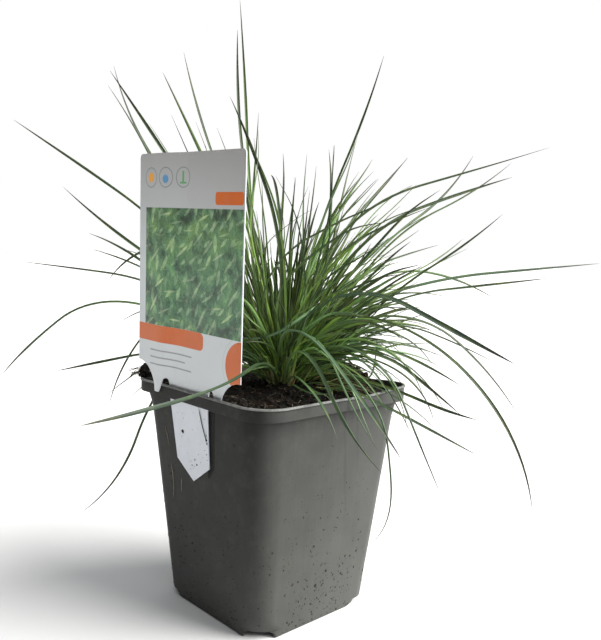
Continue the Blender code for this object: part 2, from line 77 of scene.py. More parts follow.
# One row a shoot, in spiral order from the middle of the crown: length, rise at the foot, at a third,
# at two thirds and at the tip, bearing at the foot, half way and at the tip, leaf width,
# number of finer leaves beside it, and how blue its leaves are (0 green, 1 blue-grey)
SHOOTS = (
    (172, 89, 71, 63, 72, -1, -3, -6, 1.15, 9, 0.25),
    (136, 84, 60, 4, -55, 121, 122, 122, 1.15, 4, 0.6),
    (194, 89, 56, 18, 18, 17, -21, -62, 1.35, 6, 0.4),
    (150, 78, 58, 34, 25, 19, 17, 17, 1.15, 9, 0.25),
    (143, 89, 88, 66, 60, 84, 101, 111, 1.4, 9, 0.5),
    (169, 81, 58, 21, 17, -21, -22, -22, 1.25, 6, 0.4),
    (134, 79, 21, -48, -75, 122, 120, 117, 1.15, 4, 0.6),
    (176, 89, 6, -41, -81, -98, -80, -50, 1.15, 6, 0.4),
    (158, 78, 60, 35, 36, 8, 8, 8, 1.15, 9, 0.25),
    (172, 84, 76, 74, 86, 117, 93, 60, 1.2, 9, 0.25),
    (144, 82, 17, -39, -56, -40, -39, -38, 1.15, 6, 0.4),
    (172, 74, 69, 64, 74, 107, 107, 107, 1.15, 7, 0.35),
    (141, 88, 37, -24, -25, -108, -74, -60, 1.75, 6, 1.0),
    (159, 81, 34, -6, -26, -7, -10, -15, 1.15, 6, 0.4),
    (166, 81, -44, -70, -38, 121, 114, 120, 1.15, 4, 0.6),
    (89, 89, 4, -29, -76, -48, -51, -51, 1.15, 6, 0.4),
    (99, 76, 75, 65, 47, 29, 27, 26, 1.15, 9, 0.25),
    (155, 77, 74, 63, 62, 128, 127, 127, 1.5, 7, 0.35),
    (181, 83, 19, 6, 6, -28, -29, -30, 1.6, 6, 0.9),
    (183, 71, 56, 47, 73, 112, 113, 113, 1.15, 7, 0.35),
    (120, 82, 4, -62, -61, -81, -79, -79, 1.15, 3, 0.8),
    (185, 69, 42, 26, 50, -2, 0, 0, 1.25, 6, 0.4),
    (183, 73, 47, 32, 31, 125, 126, 127, 1.15, 7, 0.35),
    (95, 88, 4, -36, -40, -44, -45, -44, 1.3, 6, 0.4),
    (166, 74, 58, 34, 7, 51, 53, 55, 1.3, 9, 0.6),
    (134, 89, 13, -31, -45, -131, -108, -86, 1.4, 3, 0.95),
    (124, 78, 14, -19, -26, -19, -22, -27, 1.15, 6, 0.4),
    (162, 64, 25, 4, 3, 118, 117, 116, 1.15, 4, 0.6),
    (123, 89, -30, -74, -21, -93, -75, -178, 1.15, 3, 0.8),
    (183, 63, 41, 38, 46, 24, 38, 53, 1.15, 9, 0.25),
    (137, 67, 41, 33, 40, 128, 129, 129, 1.15, 7, 0.35),
    (94, 84, 6, -22, -32, -23, -30, -33, 1.15, 6, 0.4),
    (192, 70, 76, 83, 79, 86, 82, 81, 1.2, 9, 0.25),
    (126, 66, 10, -35, -19, -123, -116, -103, 1.15, 3, 0.8),
    (153, 64, 28, 16, 28, 0, 1, 3, 1.15, 6, 0.4),
    (163, 66, 58, 62, 52, 123, 122, 121, 1.15, 7, 0.35),
    (131, 79, 34, 8, 9, -54, -48, -45, 1.15, 6, 0.4),
    (102, 80, 88, 86, 67, 46, 40, 36, 1.15, 9, 0.25),
    (163, 74, 66, 56, 53, 131, 131, 131, 1.3, 7, 0.35),
    (88, 77, 32, -18, -58, -21, -23, -23, 1.15, 6, 0.4),
    (154, 59, 24, 15, 7, 99, 98, 97, 1.15, 4, 0.6),
    (64, 65, -1, -21, -51, -122, -112, -102, 1.15, 3, 0.8),
    (183, 65, 27, 9, 7, 14, 13, 13, 1.3, 6, 0.4),
    (107, 57, 1, -14, -14, 130, 130, 130, 1.15, 4, 0.6),
    (82, 50, -10, -19, -12, -61, -58, -53, 1.15, 6, 0.4),
    (184, 52, 41, 52, 86, 73, 54, 38, 1.15, 9, 0.25),
    (138, 61, -10, -2, 1, -137, -162, -167, 1.7, 4, 1.0),
    (185, 74, 48, 22, 34, -10, -9, -8, 1.15, 6, 0.4),
    (132, 51, 39, 28, 11, 116, 109, 103, 1.15, 4, 0.6),
    (88, 41, -16, -21, -22, -77, -70, -65, 1.15, 3, 0.8),
    (160, 54, 52, 62, 49, 22, 26, 28, 1.3, 9, 0.25),
    (182, 55, 18, -34, -34, 138, 117, 91, 1.15, 4, 0.6),
    (125, 64, 46, 33, 42, -36, -34, -33, 1.15, 6, 0.4),
)

# Finer leaves with a line of their own, which belong to the shoot named first:
# shoot, length, rises at the foot, a third, two thirds and tip, bearings at the foot, half way and tip, width, blueness
SIDE_LEAVES = (
    (18, 151, 67, 60, 54, 49, 107, 107, 107, 1.0, 0.35),
    (12, 155, 66, 60, 56, 56, 97, 97, 97, 1.0, 0.35),
    (5, 153, 67, 61, 56, 54, 87, 87, 87, 1.0, 0.35),
    (46, 170, 67, 56, 47, 40, 72, 72, 72, 1.05, 0.3),
    (5, 107, 73, 84, 79, 51, 167, 167, 167, 0.95, 0.3),
    (38, 98, 89, 88, 86, 49, 17, 17, 17, 1.0, 0.25),
    (4, 122, 61, 70, 86, 85, 8, 13, 18, 1.0, 0.25),
    (51, 153, 66, 49, 35, 24, 22, 22, 22, 1.05, 0.3),
    (35, 139, 71, 60, 43, 19, 2, 2, 2, 1.0, 0.35),
    (14, 127, 63, 36, 23, 22, -13, -13, -13, 1.05, 0.4),
    (32, 98, 64, 8, -35, -66, -31, -31, -31, 0.95, 0.5),
    (27, 98, 58, 13, -9, -21, -14, -14, -14, 0.95, 0.5),
    (50, 74, 53, -6, -25, -45, -65, -62, -60, 0.95, 0.8),
    (45, 90, 89, 11, -46, -62, -71, -71, -71, 0.95, 0.8),
    (49, 114, 67, 29, -5, -33, 109, 109, 109, 0.95, 0.5),
    (44, 102, 65, 7, -35, -40, 127, 127, 127, 0.95, 0.6),
    (7, 92, 73, 9, -39, -44, 126, 126, 126, 0.95, 0.6),
)


# ---------------------------------------------------------------- lines
def spiral_root(index):
    radius = 1.7 * math.sqrt(index + 0.5)
    angle = math.radians(137.508 * index)
    return np.array((CROWN[0] + radius * math.cos(angle), CROWN[1] + radius * math.sin(angle), ROOT_Z))


def leaf_line(root, length, rises, bearings, count=48):
    """Even steps that turn through the rises and bearings, from the root."""
    s = (np.arange(count) + 0.5) / count
    rise = np.radians(np.interp(s, (0, 1 / 3, 2 / 3, 1), rises))
    bearing = np.radians(np.interp(s, (0, 0.5, 1), bearings))
    step = np.stack((np.cos(rise) * np.cos(bearing), np.cos(rise) * np.sin(bearing), np.sin(rise)), 1)
    return np.vstack((root, root + np.cumsum(step * length / count, 0)))


def resample(line, count):
    f = np.linspace(0, len(line) - 1, count)
    i = np.minimum(f.astype(int), len(line) - 2)
    t = (f - i)[:, None]
    return line[i] * (1 - t) + line[i + 1] * t


# where the leaves' feet come together, a little behind the shoots' middle
FOOT = np.array((6.0, -1.0))


def draw_in(line, near=0.56):
    """The leaf's foot goes to the clump's narrow base, and the rest of the line stays where it is."""
    reach = np.linalg.norm(line - line[0], axis=1)
    hold = np.clip(1.0 - reach / 34.0, 0, 1) ** 2 * (3 - 2 * np.clip(1.0 - reach / 34.0, 0, 1))
    shift = FOOT + near * (line[0, :2] - CROWN) - line[0, :2]
    out = line.copy()
    out[:, :2] += hold[:, None] * shift
    return out


def sway(line, amount, rng):
    """Small slow wanderings off the even line, none at the root."""
    n = len(line)
    s = np.linspace(0, 1, n)
    out = line.copy()
    for axis in range(3):
        a, b, c, d = rng.normal(0, 1, 4)
        out[:, axis] += amount * s * (0.6 * a * np.sin(2.6 * math.pi * s + b) + 0.4 * c * np.sin(5.2 * math.pi * s + d))
    return out


# ---------------------------------------------------------------- soil height
def soil_level(x, y):
    z = POT_HEIGHT - 3.0
    z = z + 12.0 * np.exp(-(((x - 37.0) / 16.0) ** 2 + ((y + 4.0) / 21.0) ** 2))
    z = z + 4.6 * np.exp(-(((x - 4.0) / 14.0) ** 2 + ((y + 3.0) / 14.0) ** 2))
    z = z - 6.0 * np.exp(-((x - 42.0) ** 2 + (y + 42.0) ** 2) / 13.0 ** 2)
    z = z + 0.35 * np.sin(x * 0.31 + 1.0) * np.cos(y * 0.27)
    edge = 43.9 - np.maximum(np.abs(x), np.abs(y))
    return np.minimum(z, POT_HEIGHT - 0.4 + 2.0 * np.maximum(edge, 0.0))


def soil_detail(x, y):
    """Crumbly relief on top of the level, in mm."""
    p = Vector((x, y, 0.0))
    h = 0.9 * noise.fractal(p * 0.11, 1.0, 2.0, 3)
    h += 1.15 * (0.35 - noise.voronoi(p * 0.34)[0][0])
    h += 0.75 * (0.3 - noise.voronoi(p * 0.8 + Vector((9, 4, 2)))[0][0])
    h += 0.28 * noise.noise(p * 1.9)
    return h


def soil_top(x, y):
    edge = 43.9 - max(abs(x), abs(y))
    calm = min(max(edge / 3.0, 0.0), 1.0) * 0.8 + 0.2
    z = float(soil_level(x, y)) + calm * soil_detail(x, y)
    # outside the wall it lies on the band's ledge
    if math.hypot(max(abs(x) - 32.8, 0.0), max(abs(y) - 32.8, 0.0)) > 8.0:
        z = max(z, 98.8)
    return z


# ---------------------------------------------------------------- meshes
class Bundle:
    """Gathers closed little bodies into one mesh, with numbers at its points for the materials to read."""

    def __init__(self):
        self.verts, self.faces, self.data, self.count = [], [], [], 0

    def add(self, verts, faces, data):
        """data: one row a point, of (along, across, tone, blue, dry, reach)"""
        self.verts.append(np.asarray(verts, float))
        self.faces.extend(tuple(i + self.count for i in f) for f in faces)
        data = np.asarray(data, float)
        if data.ndim == 1:
            data = np.tile(data, (len(verts), 1))
        self.data.append(data)
        self.count += len(verts)

    def make(self, name, mat, sharp=None):
        me = bpy.data.meshes.new(name)
        me.from_pydata((np.vstack(self.verts) * MM).tolist(), [], self.faces)
        data = np.vstack(self.data)
        for k, key in enumerate(("along", "across", "tone", "blue", "dry", "reach")):
            layer = me.attributes.new(key, "FLOAT", "POINT")
            layer.data.foreach_set("value", np.ascontiguousarray(data[:, k], np.float32))
        me.materials.append(mat)
        me.shade_smooth()
        if sharp:
            me.set_sharp_from_angle(angle=math.radians(sharp))
        ob = bpy.data.objects.new(name, me)
        bpy.context.scene.collection.objects.link(ob)
        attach(ob, "root")
        return ob


# a folded blade's section, in half widths: across and up
FOLDED = np.array(((-1.0, 0.42), (-0.82, -0.18), (-0.30, -0.58), (0.30, -0.58), (0.82, -0.18), (1.0, 0.42),
                   (0.34, -0.06), (-0.34, -0.06)))
ROUND = np.array([(math.cos(a), math.sin(a)) for a in [math.radians(180 + 22 - k * -45) for k in range(8)]])


def frames(line, first):
    """Directions along a line and a side direction that turns no more than it must."""
    d = np.gradient(line, axis=0)
    d /= np.linalg.norm(d, axis=1)[:, None]
    sides = np.empty_like(d)
    s = first - d[0] * float(first @ d[0])
    for i in range(len(d)):
        s = s - d[i] * float(s @ d[i])
        s = s / np.linalg.norm(s)
        sides[i] = s
    return d, sides, np.cross(d, sides)


def blade(bundle, line, width, bearing, tone, blue, dry, twist=0.0, sheath=0.10, tip=0.5, flat=1.0, turn=0.0):
    """One leaf: a round sheath at the foot that opens to a folded blade and narrows to a fine point."""
    n, k = len(line), len(FOLDED)
    b = math.radians(bearing)
    d, side, up = frames(line, np.array((-math.sin(b), math.cos(b), 0.0)))
    s = np.linspace(0, 1, n)
    half = 0.5 * width * np.minimum(1.0, ((1 - s) / tip) ** 0.65) * (0.82 + 0.18 * np.clip((s - 0.02) / 0.25, 0, 1))
    half = np.maximum(half, 0.05)
    fold = np.clip((s - sheath) / 0.16, 0, 1)
    angle = math.radians(turn) + twist * s * s
    c, q = np.cos(angle)[:, None], np.sin(angle)[:, None]
    u, v = side * c + up * q, up * c - side * q
    verts = []
    for i in range(n):
        section = ROUND * 0.82 * (1 - fold[i]) + FOLDED * np.array((1.0, flat)) * fold[i]
        verts.append(line[i] + half[i] * (section[:, :1] * u[i] + section[:, 1:] * v[i]))
    verts = np.vstack(verts)
    faces = []
    for i in range(n - 1):
        a, e = i * k, (i + 1) * k
        faces.extend((a + j, a + (j + 1) % k, e + (j + 1) % k, e + j) for j in range(k))
    faces.append(tuple(reversed(range(k))))
    faces.append(tuple((n - 1) * k + j for j in range(k)))
    data = np.empty((n * k, 6))
    data[:, 0] = np.repeat(s, k)
    data[:, 1] = np.tile(FOLDED[:, 0], n)
    data[:, 2:5] = (tone, blue, dry)
    length = float(np.linalg.norm(np.diff(line, axis=0), axis=1).sum())
    data[:, 5] = np.repeat(s, k) * length
    bundle.add(verts, faces, data)


def inside_pot(p, half):
    return (np.abs(p[:, 0]) < half) & (np.abs(p[:, 1]) < half)


def clear(line):
    """True if a line stays off the soil, the pot and the label, and inside the object's own box."""
    p = line[len(line) // 12:]
    if (p < LOW + 1.5).any() or (p > HIGH - 1.5).any():
        return False
    low = inside_pot(p, RIM_HALF + 1.5)
    r = np.hypot(p[:, 0] - CROWN[0], p[:, 1] - CROWN[1])
    if (low & (r > 12) & (p[:, 2] < soil_level(p[:, 0], p[:, 1]) + 1.6)).any():
        return False
    if (low & (np.maximum(np.abs(p[:, 0]), np.abs(p[:, 1])) > 41) & (p[:, 2] < POT_HEIGHT + 1.5)).any():
        return False
    rel = p - LABEL_AT
    u, v, w = rel @ LABEL_U, rel @ LABEL_V, rel @ LABEL_N
    return not ((np.abs(u) < 37) & (v > -38) & (v < 108) & (w > -3.0)).any()


# ---------------------------------------------------------------- node helpers
class Nodes:
    def __init__(self, name):
        self.mat = bpy.data.materials.new(name)
        self.mat.use_nodes = True
        self.tree = self.mat.node_tree
        self.bsdf = self.tree.nodes["Principled BSDF"]

    def new(self, kind, **values):
        node = self.tree.nodes.new(kind)
        for key, value in values.items():
            setattr(node, key, value)
        return node

    def link(self, a, b):
        self.tree.links.new(a, b)

    def put(self, socket, value):
        if isinstance(value, bpy.types.NodeSocket):
            self.link(value, socket)
        elif isinstance(value, (tuple, list)) and len(value) == 3 and socket.type == "RGBA":
            socket.default_value = (*value, 1.0)
        else:
            socket.default_value = value

    def attr(self, name):
        return self.new("ShaderNodeAttribute", attribute_name=name).outputs["Fac"]

    def position(self, scale=(1000.0, 1000.0, 1000.0), offset=(0, 0, 0)):
        """The point in the object's own frame, in mm times the scale."""
        coord = self.new("ShaderNodeTexCoord").outputs["Object"]
        m = self.new("ShaderNodeMapping")
        self.link(coord, m.inputs["Vector"])
        m.inputs["Scale"].default_value = scale
        m.inputs["Location"].default_value = offset
        return m.outputs["Vector"]

    def math(self, op, a, b=0.0, c=0.0, clamp=False):
        node = self.new("ShaderNodeMath", operation=op, use_clamp=clamp)
        self.put(node.inputs[0], a)
        self.put(node.inputs[1], b)
        self.put(node.inputs[2], c)
        return node.outputs[0]

    def dot(self, vector, fixed):
        node = self.new("ShaderNodeVectorMath", operation="DOT_PRODUCT")
        self.put(node.inputs[0], vector)
        node.inputs[1].default_value = fixed
        return node.outputs["Value"]

    def combine(self, x, y, z=0.0):
        node = self.new("ShaderNodeCombineXYZ")
        for i, value in enumerate((x, y, z)):
            self.put(node.inputs[i], value)
        return node.outputs[0]

    def noise(self, vector, scale, detail=3.0, rough=0.5):
        node = self.new("ShaderNodeTexNoise")
        self.link(vector, node.inputs["Vector"])
        node.inputs["Scale"].default_value = scale
        node.inputs["Detail"].default_value = detail
        node.inputs["Roughness"].default_value = rough
        return node.outputs["Fac"]

    def cells(self, vector, scale, out="Distance"):
        node = self.new("ShaderNodeTexVoronoi")
        self.link(vector, node.inputs["Vector"])
        node.inputs["Scale"].default_value = scale
        return node.outputs[out]

    def ramp(self, fac, stops, smooth=False):
        node = self.new("ShaderNodeValToRGB")
        self.link(fac, node.inputs["Fac"])
        els = node.color_ramp.elements
        while len(els) < len(stops):
            els.new(0.5)
        for el, (place, colour) in zip(els, stops):
            el.position = place
            el.color = (*colour, 1.0) if isinstance(colour, tuple) else (colour, colour, colour, 1.0)
        if smooth:
            node.color_ramp.interpolation = "EASE"
        return node.outputs["Color"]

    def mix(self, fac, a, b, blend="MIX"):
        node = self.new("ShaderNodeMix", data_type="RGBA", blend_type=blend)
        self.put(node.inputs["Factor"], fac)
        self.put(node.inputs["A"], a)
        self.put(node.inputs["B"], b)
        return node.outputs["Result"]

    def bump(self, height, strength, distance, normal=None):
        node = self.new("ShaderNodeBump")
        self.link(height, node.inputs["Height"])
        node.inputs["Strength"].default_value = strength
        node.inputs["Distance"].default_value = distance
        if normal is not None:
            self.link(normal, node.inputs["Normal"])
        return node.outputs["Normal"]

    def finish(self, colour, roughness, normal=None, specular=0.5, metallic=0.0):
        self.put(self.bsdf.inputs["Base Color"], colour)
        self.put(self.bsdf.inputs["Roughness"], roughness)
        self.bsdf.inputs["Specular IOR Level"].default_value = specular
        self.bsdf.inputs["Metallic"].default_value = metallic
        if normal is not None:
            self.link(normal, self.bsdf.inputs["Normal"])
        return self.mat


# ---------------------------------------------------------------- materials
def leaf_material():
    m = Nodes("fescue_leaf")
    along, across, tone = m.attr("along"), m.attr("across"), m.attr("tone")
    blue, dry, reach = m.attr("blue"), m.attr("dry"), m.attr("reach")
    green = m.ramp(along, ((0.0, (0.360, 0.380, 0.120)), (0.12, (0.285, 0.365, 0.078)), (0.35, (0.140, 0.232, 0.034)),
                           (0.72, (0.080, 0.145, 0.024)), (0.93, (0.060, 0.078, 0.030)), (1.0, (0.066, 0.056, 0.038))))
    grey = m.ramp(along, ((0.0, (0.170, 0.235, 0.070)), (0.15, (0.115, 0.210, 0.070)), (0.5, (0.088, 0.165, 0.082)),
                          (0.85, (0.064, 0.105, 0.062)), (1.0, (0.066, 0.062, 0.048))))
    straw = m.ramp(along, ((0.0, (0.30, 0.21, 0.10)), (0.5, (0.36, 0.27, 0.14)), (1.0, (0.22, 0.15, 0.08))))
    colour = m.mix(blue, green, grey)
    # fine lengthwise veins and slow blotches
    veins = m.noise(m.combine(m.math("MULTIPLY", across, 3.2), m.math("MULTIPLY", reach, 0.05), tone), 2.2, 2.0)
    blotch = m.noise(m.combine(m.math("MULTIPLY", tone, 31.0), m.math("MULTIPLY", reach, 0.11), 0.0), 1.0, 2.0)
    shade = m.math("MULTIPLY_ADD", veins, 0.55, 0.72)
    shade = m.math("MULTIPLY", shade, m.math("MULTIPLY_ADD", m.math("MULTIPLY", tone, tone), 1.95, 0.34))
    shade = m.math("MULTIPLY", shade, m.math("MULTIPLY_ADD", blotch, 0.35, 0.83))
    colour = m.mix(1.0, colour, m.combine(shade, shade, shade), "MULTIPLY")
    colour = m.mix(m.math("MULTIPLY", m.math("SUBTRACT", blotch, 0.5, clamp=True), 0.9), colour, (0.21, 0.25, 0.035))
    colour = m.mix(dry, colour, straw)
    ridge = m.noise(m.combine(m.math("MULTIPLY", across, 4.0), m.math("MULTIPLY", reach, 0.02), tone), 2.5, 1.0)
    rough = m.math("MULTIPLY_ADD", blotch, 0.25, 0.36)
    return m.finish(colour, rough, m.bump(ridge, 0.35, 0.00012), specular=0.3)


def sheath_material():
    m = Nodes("fescue_sheath")
    along, across, tone, dry, reach = (m.attr(k) for k in ("along", "across", "tone", "dry", "reach"))
    live = m.ramp(along, ((0.0, (0.19, 0.14, 0.080)), (0.22, (0.33, 0.33, 0.135)), (0.6, (0.25, 0.32, 0.090)),
                          (1.0, (0.12, 0.20, 0.040))))
    dead = m.ramp(along, ((0.0, (0.12, 0.075, 0.040)), (0.5, (0.33, 0.24, 0.13)), (1.0, (0.24, 0.17, 0.09))))
    streak = m.noise(m.combine(m.math("MULTIPLY", across, 3.0), m.math("MULTIPLY", reach, 0.08), tone), 2.5, 3.0)
    shade = m.math("MULTIPLY", m.math("MULTIPLY_ADD", streak, 0.7, 0.62), m.math("MULTIPLY_ADD", tone, 0.7, 0.6))
    colour = m.mix(1.0, m.mix(dry, live, dead), m.combine(shade, shade, shade), "MULTIPLY")
    return m.finish(colour, m.math("MULTIPLY_ADD", streak, 0.3, 0.45), m.bump(streak, 0.4, 0.00015), specular=0.35)


def soil_material():
    m = Nodes("peat_soil")
    p = m.position()
    big, fine = m.noise(p, 0.16, 4.0, 0.65), m.noise(p, 1.3, 5.0, 0.7)
    colour = m.ramp(fine, ((0.25, (0.0025, 0.0022, 0.0018)), (0.5, (0.0065, 0.0055, 0.0042)), (0.72, (0.017, 0.014, 0.010)),
                           (0.9, (0.050, 0.040, 0.027))))
    side = m.dot(p, (0.02, 0.004, 0.0))
    rust = m.math("MULTIPLY", m.math("SUBTRACT", side, 0.32, clamp=True), m.math("MULTIPLY_ADD", big, 2.2, -0.5, clamp=True))
    colour = m.mix(m.math("MULTIPLY", rust, 1.4, clamp=True), colour,
                   m.ramp(fine, ((0.2, (0.005, 0.003, 0.002)), (0.6, (0.030, 0.014, 0.008)), (0.9, (0.10, 0.050, 0.028)))))
    rough = m.math("MULTIPLY_ADD", big, 0.35, 0.62)
    return m.finish(colour, rough, m.bump(fine, 0.8, 0.0006), specular=0.12)


def crumb_material():
    m = Nodes("soil_crumb")
    tone, red = m.attr("tone"), m.attr("blue")
    p = m.position()
    n = m.noise(p, 1.1, 4.0, 0.7)
    dark = m.ramp(n, ((0.25, (0.003, 0.0026, 0.002)), (0.6, (0.011, 0.009, 0.0065)), (0.9, (0.042, 0.033, 0.022))))
    rust = m.ramp(n, ((0.2, (0.012, 0.006, 0.004)), (0.55, (0.050, 0.023, 0.013)), (0.9, (0.16, 0.090, 0.050))))
    shade = m.math("MULTIPLY_ADD", tone, 1.1, 0.5)
    colour = m.mix(1.0, m.mix(red, dark, rust), m.combine(shade, shade, shade), "MULTIPLY")
    colour = m.mix(m.attr("dry"), colour, m.ramp(n, ((0.25, (0.10, 0.085, 0.060)), (0.6, (0.23, 0.20, 0.145)), (0.9, (0.36, 0.32, 0.24)))))
    return m.finish(colour, m.math("MULTIPLY_ADD", n, 0.3, 0.6), m.bump(n, 0.7, 0.0004), specular=0.14)


def bark_material():
    m = Nodes("bark_chip")
    p = m.position((1000.0, 1000.0, 1000.0))
    fibre = m.noise(m.combine(m.dot(p, (0.07, -0.07, 0.0)), m.dot(p, (0.6, 0.6, 0.3)), m.dot(p, (0.0, 0.1, 1.1))), 1.3, 4.0)
    colour = m.ramp(fibre, ((0.2, (0.10, 0.045, 0.035)), (0.45, (0.32, 0.20, 0.13)), (0.62, (0.52, 0.38, 0.26)),
                            (0.85, (0.62, 0.48, 0.36))))
    return m.finish(colour, m.math("MULTIPLY_ADD", fibre, 0.25, 0.6), m.bump(fibre, 0.7, 0.0005), specular=0.25)


def pot_material():
    m = Nodes("grey_pot_plastic")
    p = m.position()
    height = m.dot(p, (0.0, 0.0, 1.0))
    fine = m.noise(p, 2.6, 3.0, 0.6)
    cloud = m.noise(p, 0.045, 3.0, 0.55)
    flow = m.noise(m.position((260.0, 260.0, 7.0)), 1.0, 3.0, 0.6)
    colour = m.ramp(cloud, ((0.3, (0.056, 0.058, 0.054)), (0.7, (0.066, 0.068, 0.063))))
    # painted shade: the wall's colour is made darker toward the top and darker on the -X side, away from the key light;
    # the flow noise itself is moulding flow marks
    streak = m.math("MULTIPLY", m.math("MULTIPLY_ADD", flow, 0.20, 0.90), m.math("MULTIPLY_ADD", height, -0.0024, 1.12))
    streak = m.math("MULTIPLY", streak, m.math("MULTIPLY_ADD", m.dot(p, (0.0072, 0.0004, 0.0)), 1.0, 1.06))
    # painted shade: the -X side, where the label hangs, is darkened, more toward the top
    label_side_shade = m.math("MULTIPLY_ADD", m.dot(p, (-1.0, 0.0, -0.085)), 0.25, -7.25, clamp=True)
    shade_rising_upward = m.math("MULTIPLY_ADD", height, 0.0056, 0.05)
    streak = m.math("MULTIPLY", streak, m.math("MULTIPLY_ADD", m.math("MULTIPLY", label_side_shade, shade_rising_upward), -1.0, 1.0))
    # painted shade: two faint upright dark lines on the right face, standing in for the shading of shallow ribs
    facing = m.math("MULTIPLY_ADD", m.dot(p, (0.0, -0.5, 0.0)), 1.0, -15.0, clamp=True)
    for place, wide, slope, start, depth in ((19.6, 0.8, 0.03, -1.0, 0.16), (27.6, 0.8, 0.08, -5.2, 0.15)):
        line = m.math("ABSOLUTE", m.math("SUBTRACT", m.dot(p, (1.0, 0.0, 0.16)), place))
        line = m.math("SUBTRACT", 1.0, m.math("MULTIPLY", line, wide), clamp=True)
        line = m.math("MULTIPLY", line, m.math("MULTIPLY", m.math("MULTIPLY_ADD", height, slope, start, clamp=True), facing))
        streak = m.math("MULTIPLY", streak, m.math("MULTIPLY_ADD", line, -depth, 1.0))
    colour = m.mix(1.0, colour, m.combine(streak, streak, streak), "MULTIPLY")
    # painted shade under the band, under the lip bead, in the slot and inside the pot, and a paler lip that is partly
    # rubbed wear and partly a painted highlight
    lip_wear_and_highlight = m.math("MULTIPLY_ADD", m.noise(p, 0.5, 4.0, 0.7), 1.6, -0.1, clamp=True)
    colour = m.mix(m.math("MULTIPLY", m.math("MULTIPLY", m.attr("tone"), lip_wear_and_highlight), 0.9), colour, (0.25, 0.255, 0.245))
    # the "blue" attribute on the pot's points holds the amount of painted shade
    shade = m.math("MULTIPLY_ADD", m.attr("blue"), -0.6, 1.0)
    colour = m.mix(1.0, colour, m.combine(shade, shade, shade), "MULTIPLY")
    # dust and dried splashes, more of them towards the foot
    low = m.math("MULTIPLY_ADD", height, -0.0105, 1.0, clamp=True)
    dots = m.cells(p, 0.42)
    pick = m.noise(p, 0.21, 2.0, 0.5)
    mark = m.math("MULTIPLY", m.math("LESS_THAN", dots, 0.16), m.math("GREATER_THAN", pick, m.math("MULTIPLY_ADD", low, -0.14, 0.66)))
    colour = m.mix(m.math("MULTIPLY", mark, 0.55), colour, (0.022, 0.020, 0.016))
    dust = m.math("MULTIPLY", m.math("MULTIPLY_ADD", m.noise(p, 0.12, 5.0, 0.75), 3.0, -1.45, clamp=True), 0.22)
    colour = m.mix(dust, colour, (0.105, 0.098, 0.082))
    rough = m.math("ADD", m.math("MULTIPLY_ADD", fine, 0.12, 0.40), m.math("MULTIPLY", cloud, 0.12))
    normal = m.bump(m.math("ADD", m.math("MULTIPLY", fine, 0.35), m.math("MULTIPLY", flow, 2.2)), 0.30, 0.00012)
    return m.finish(colour, rough, normal, specular=0.15)


def speck_material():
    m = Nodes("dried_dirt")
    p = m.position()
    n = m.noise(p, 2.2, 3.0, 0.6)
    tone = m.attr("tone")
    colour = m.ramp(n, ((0.3, (0.010, 0.008, 0.006)), (0.8, (0.034, 0.026, 0.018))))
    colour = m.mix(m.math("MULTIPLY", tone, 0.5), colour, (0.05, 0.035, 0.022))
    colour = m.mix(m.attr("blue"), colour, m.ramp(n, ((0.3, (0.22, 0.18, 0.12)), (0.7, (0.32, 0.27, 0.19)))))
    return m.finish(colour, m.math("MULTIPLY_ADD", n, 0.2, 0.7), m.bump(n, 0.6, 0.0002), specular=0.25)


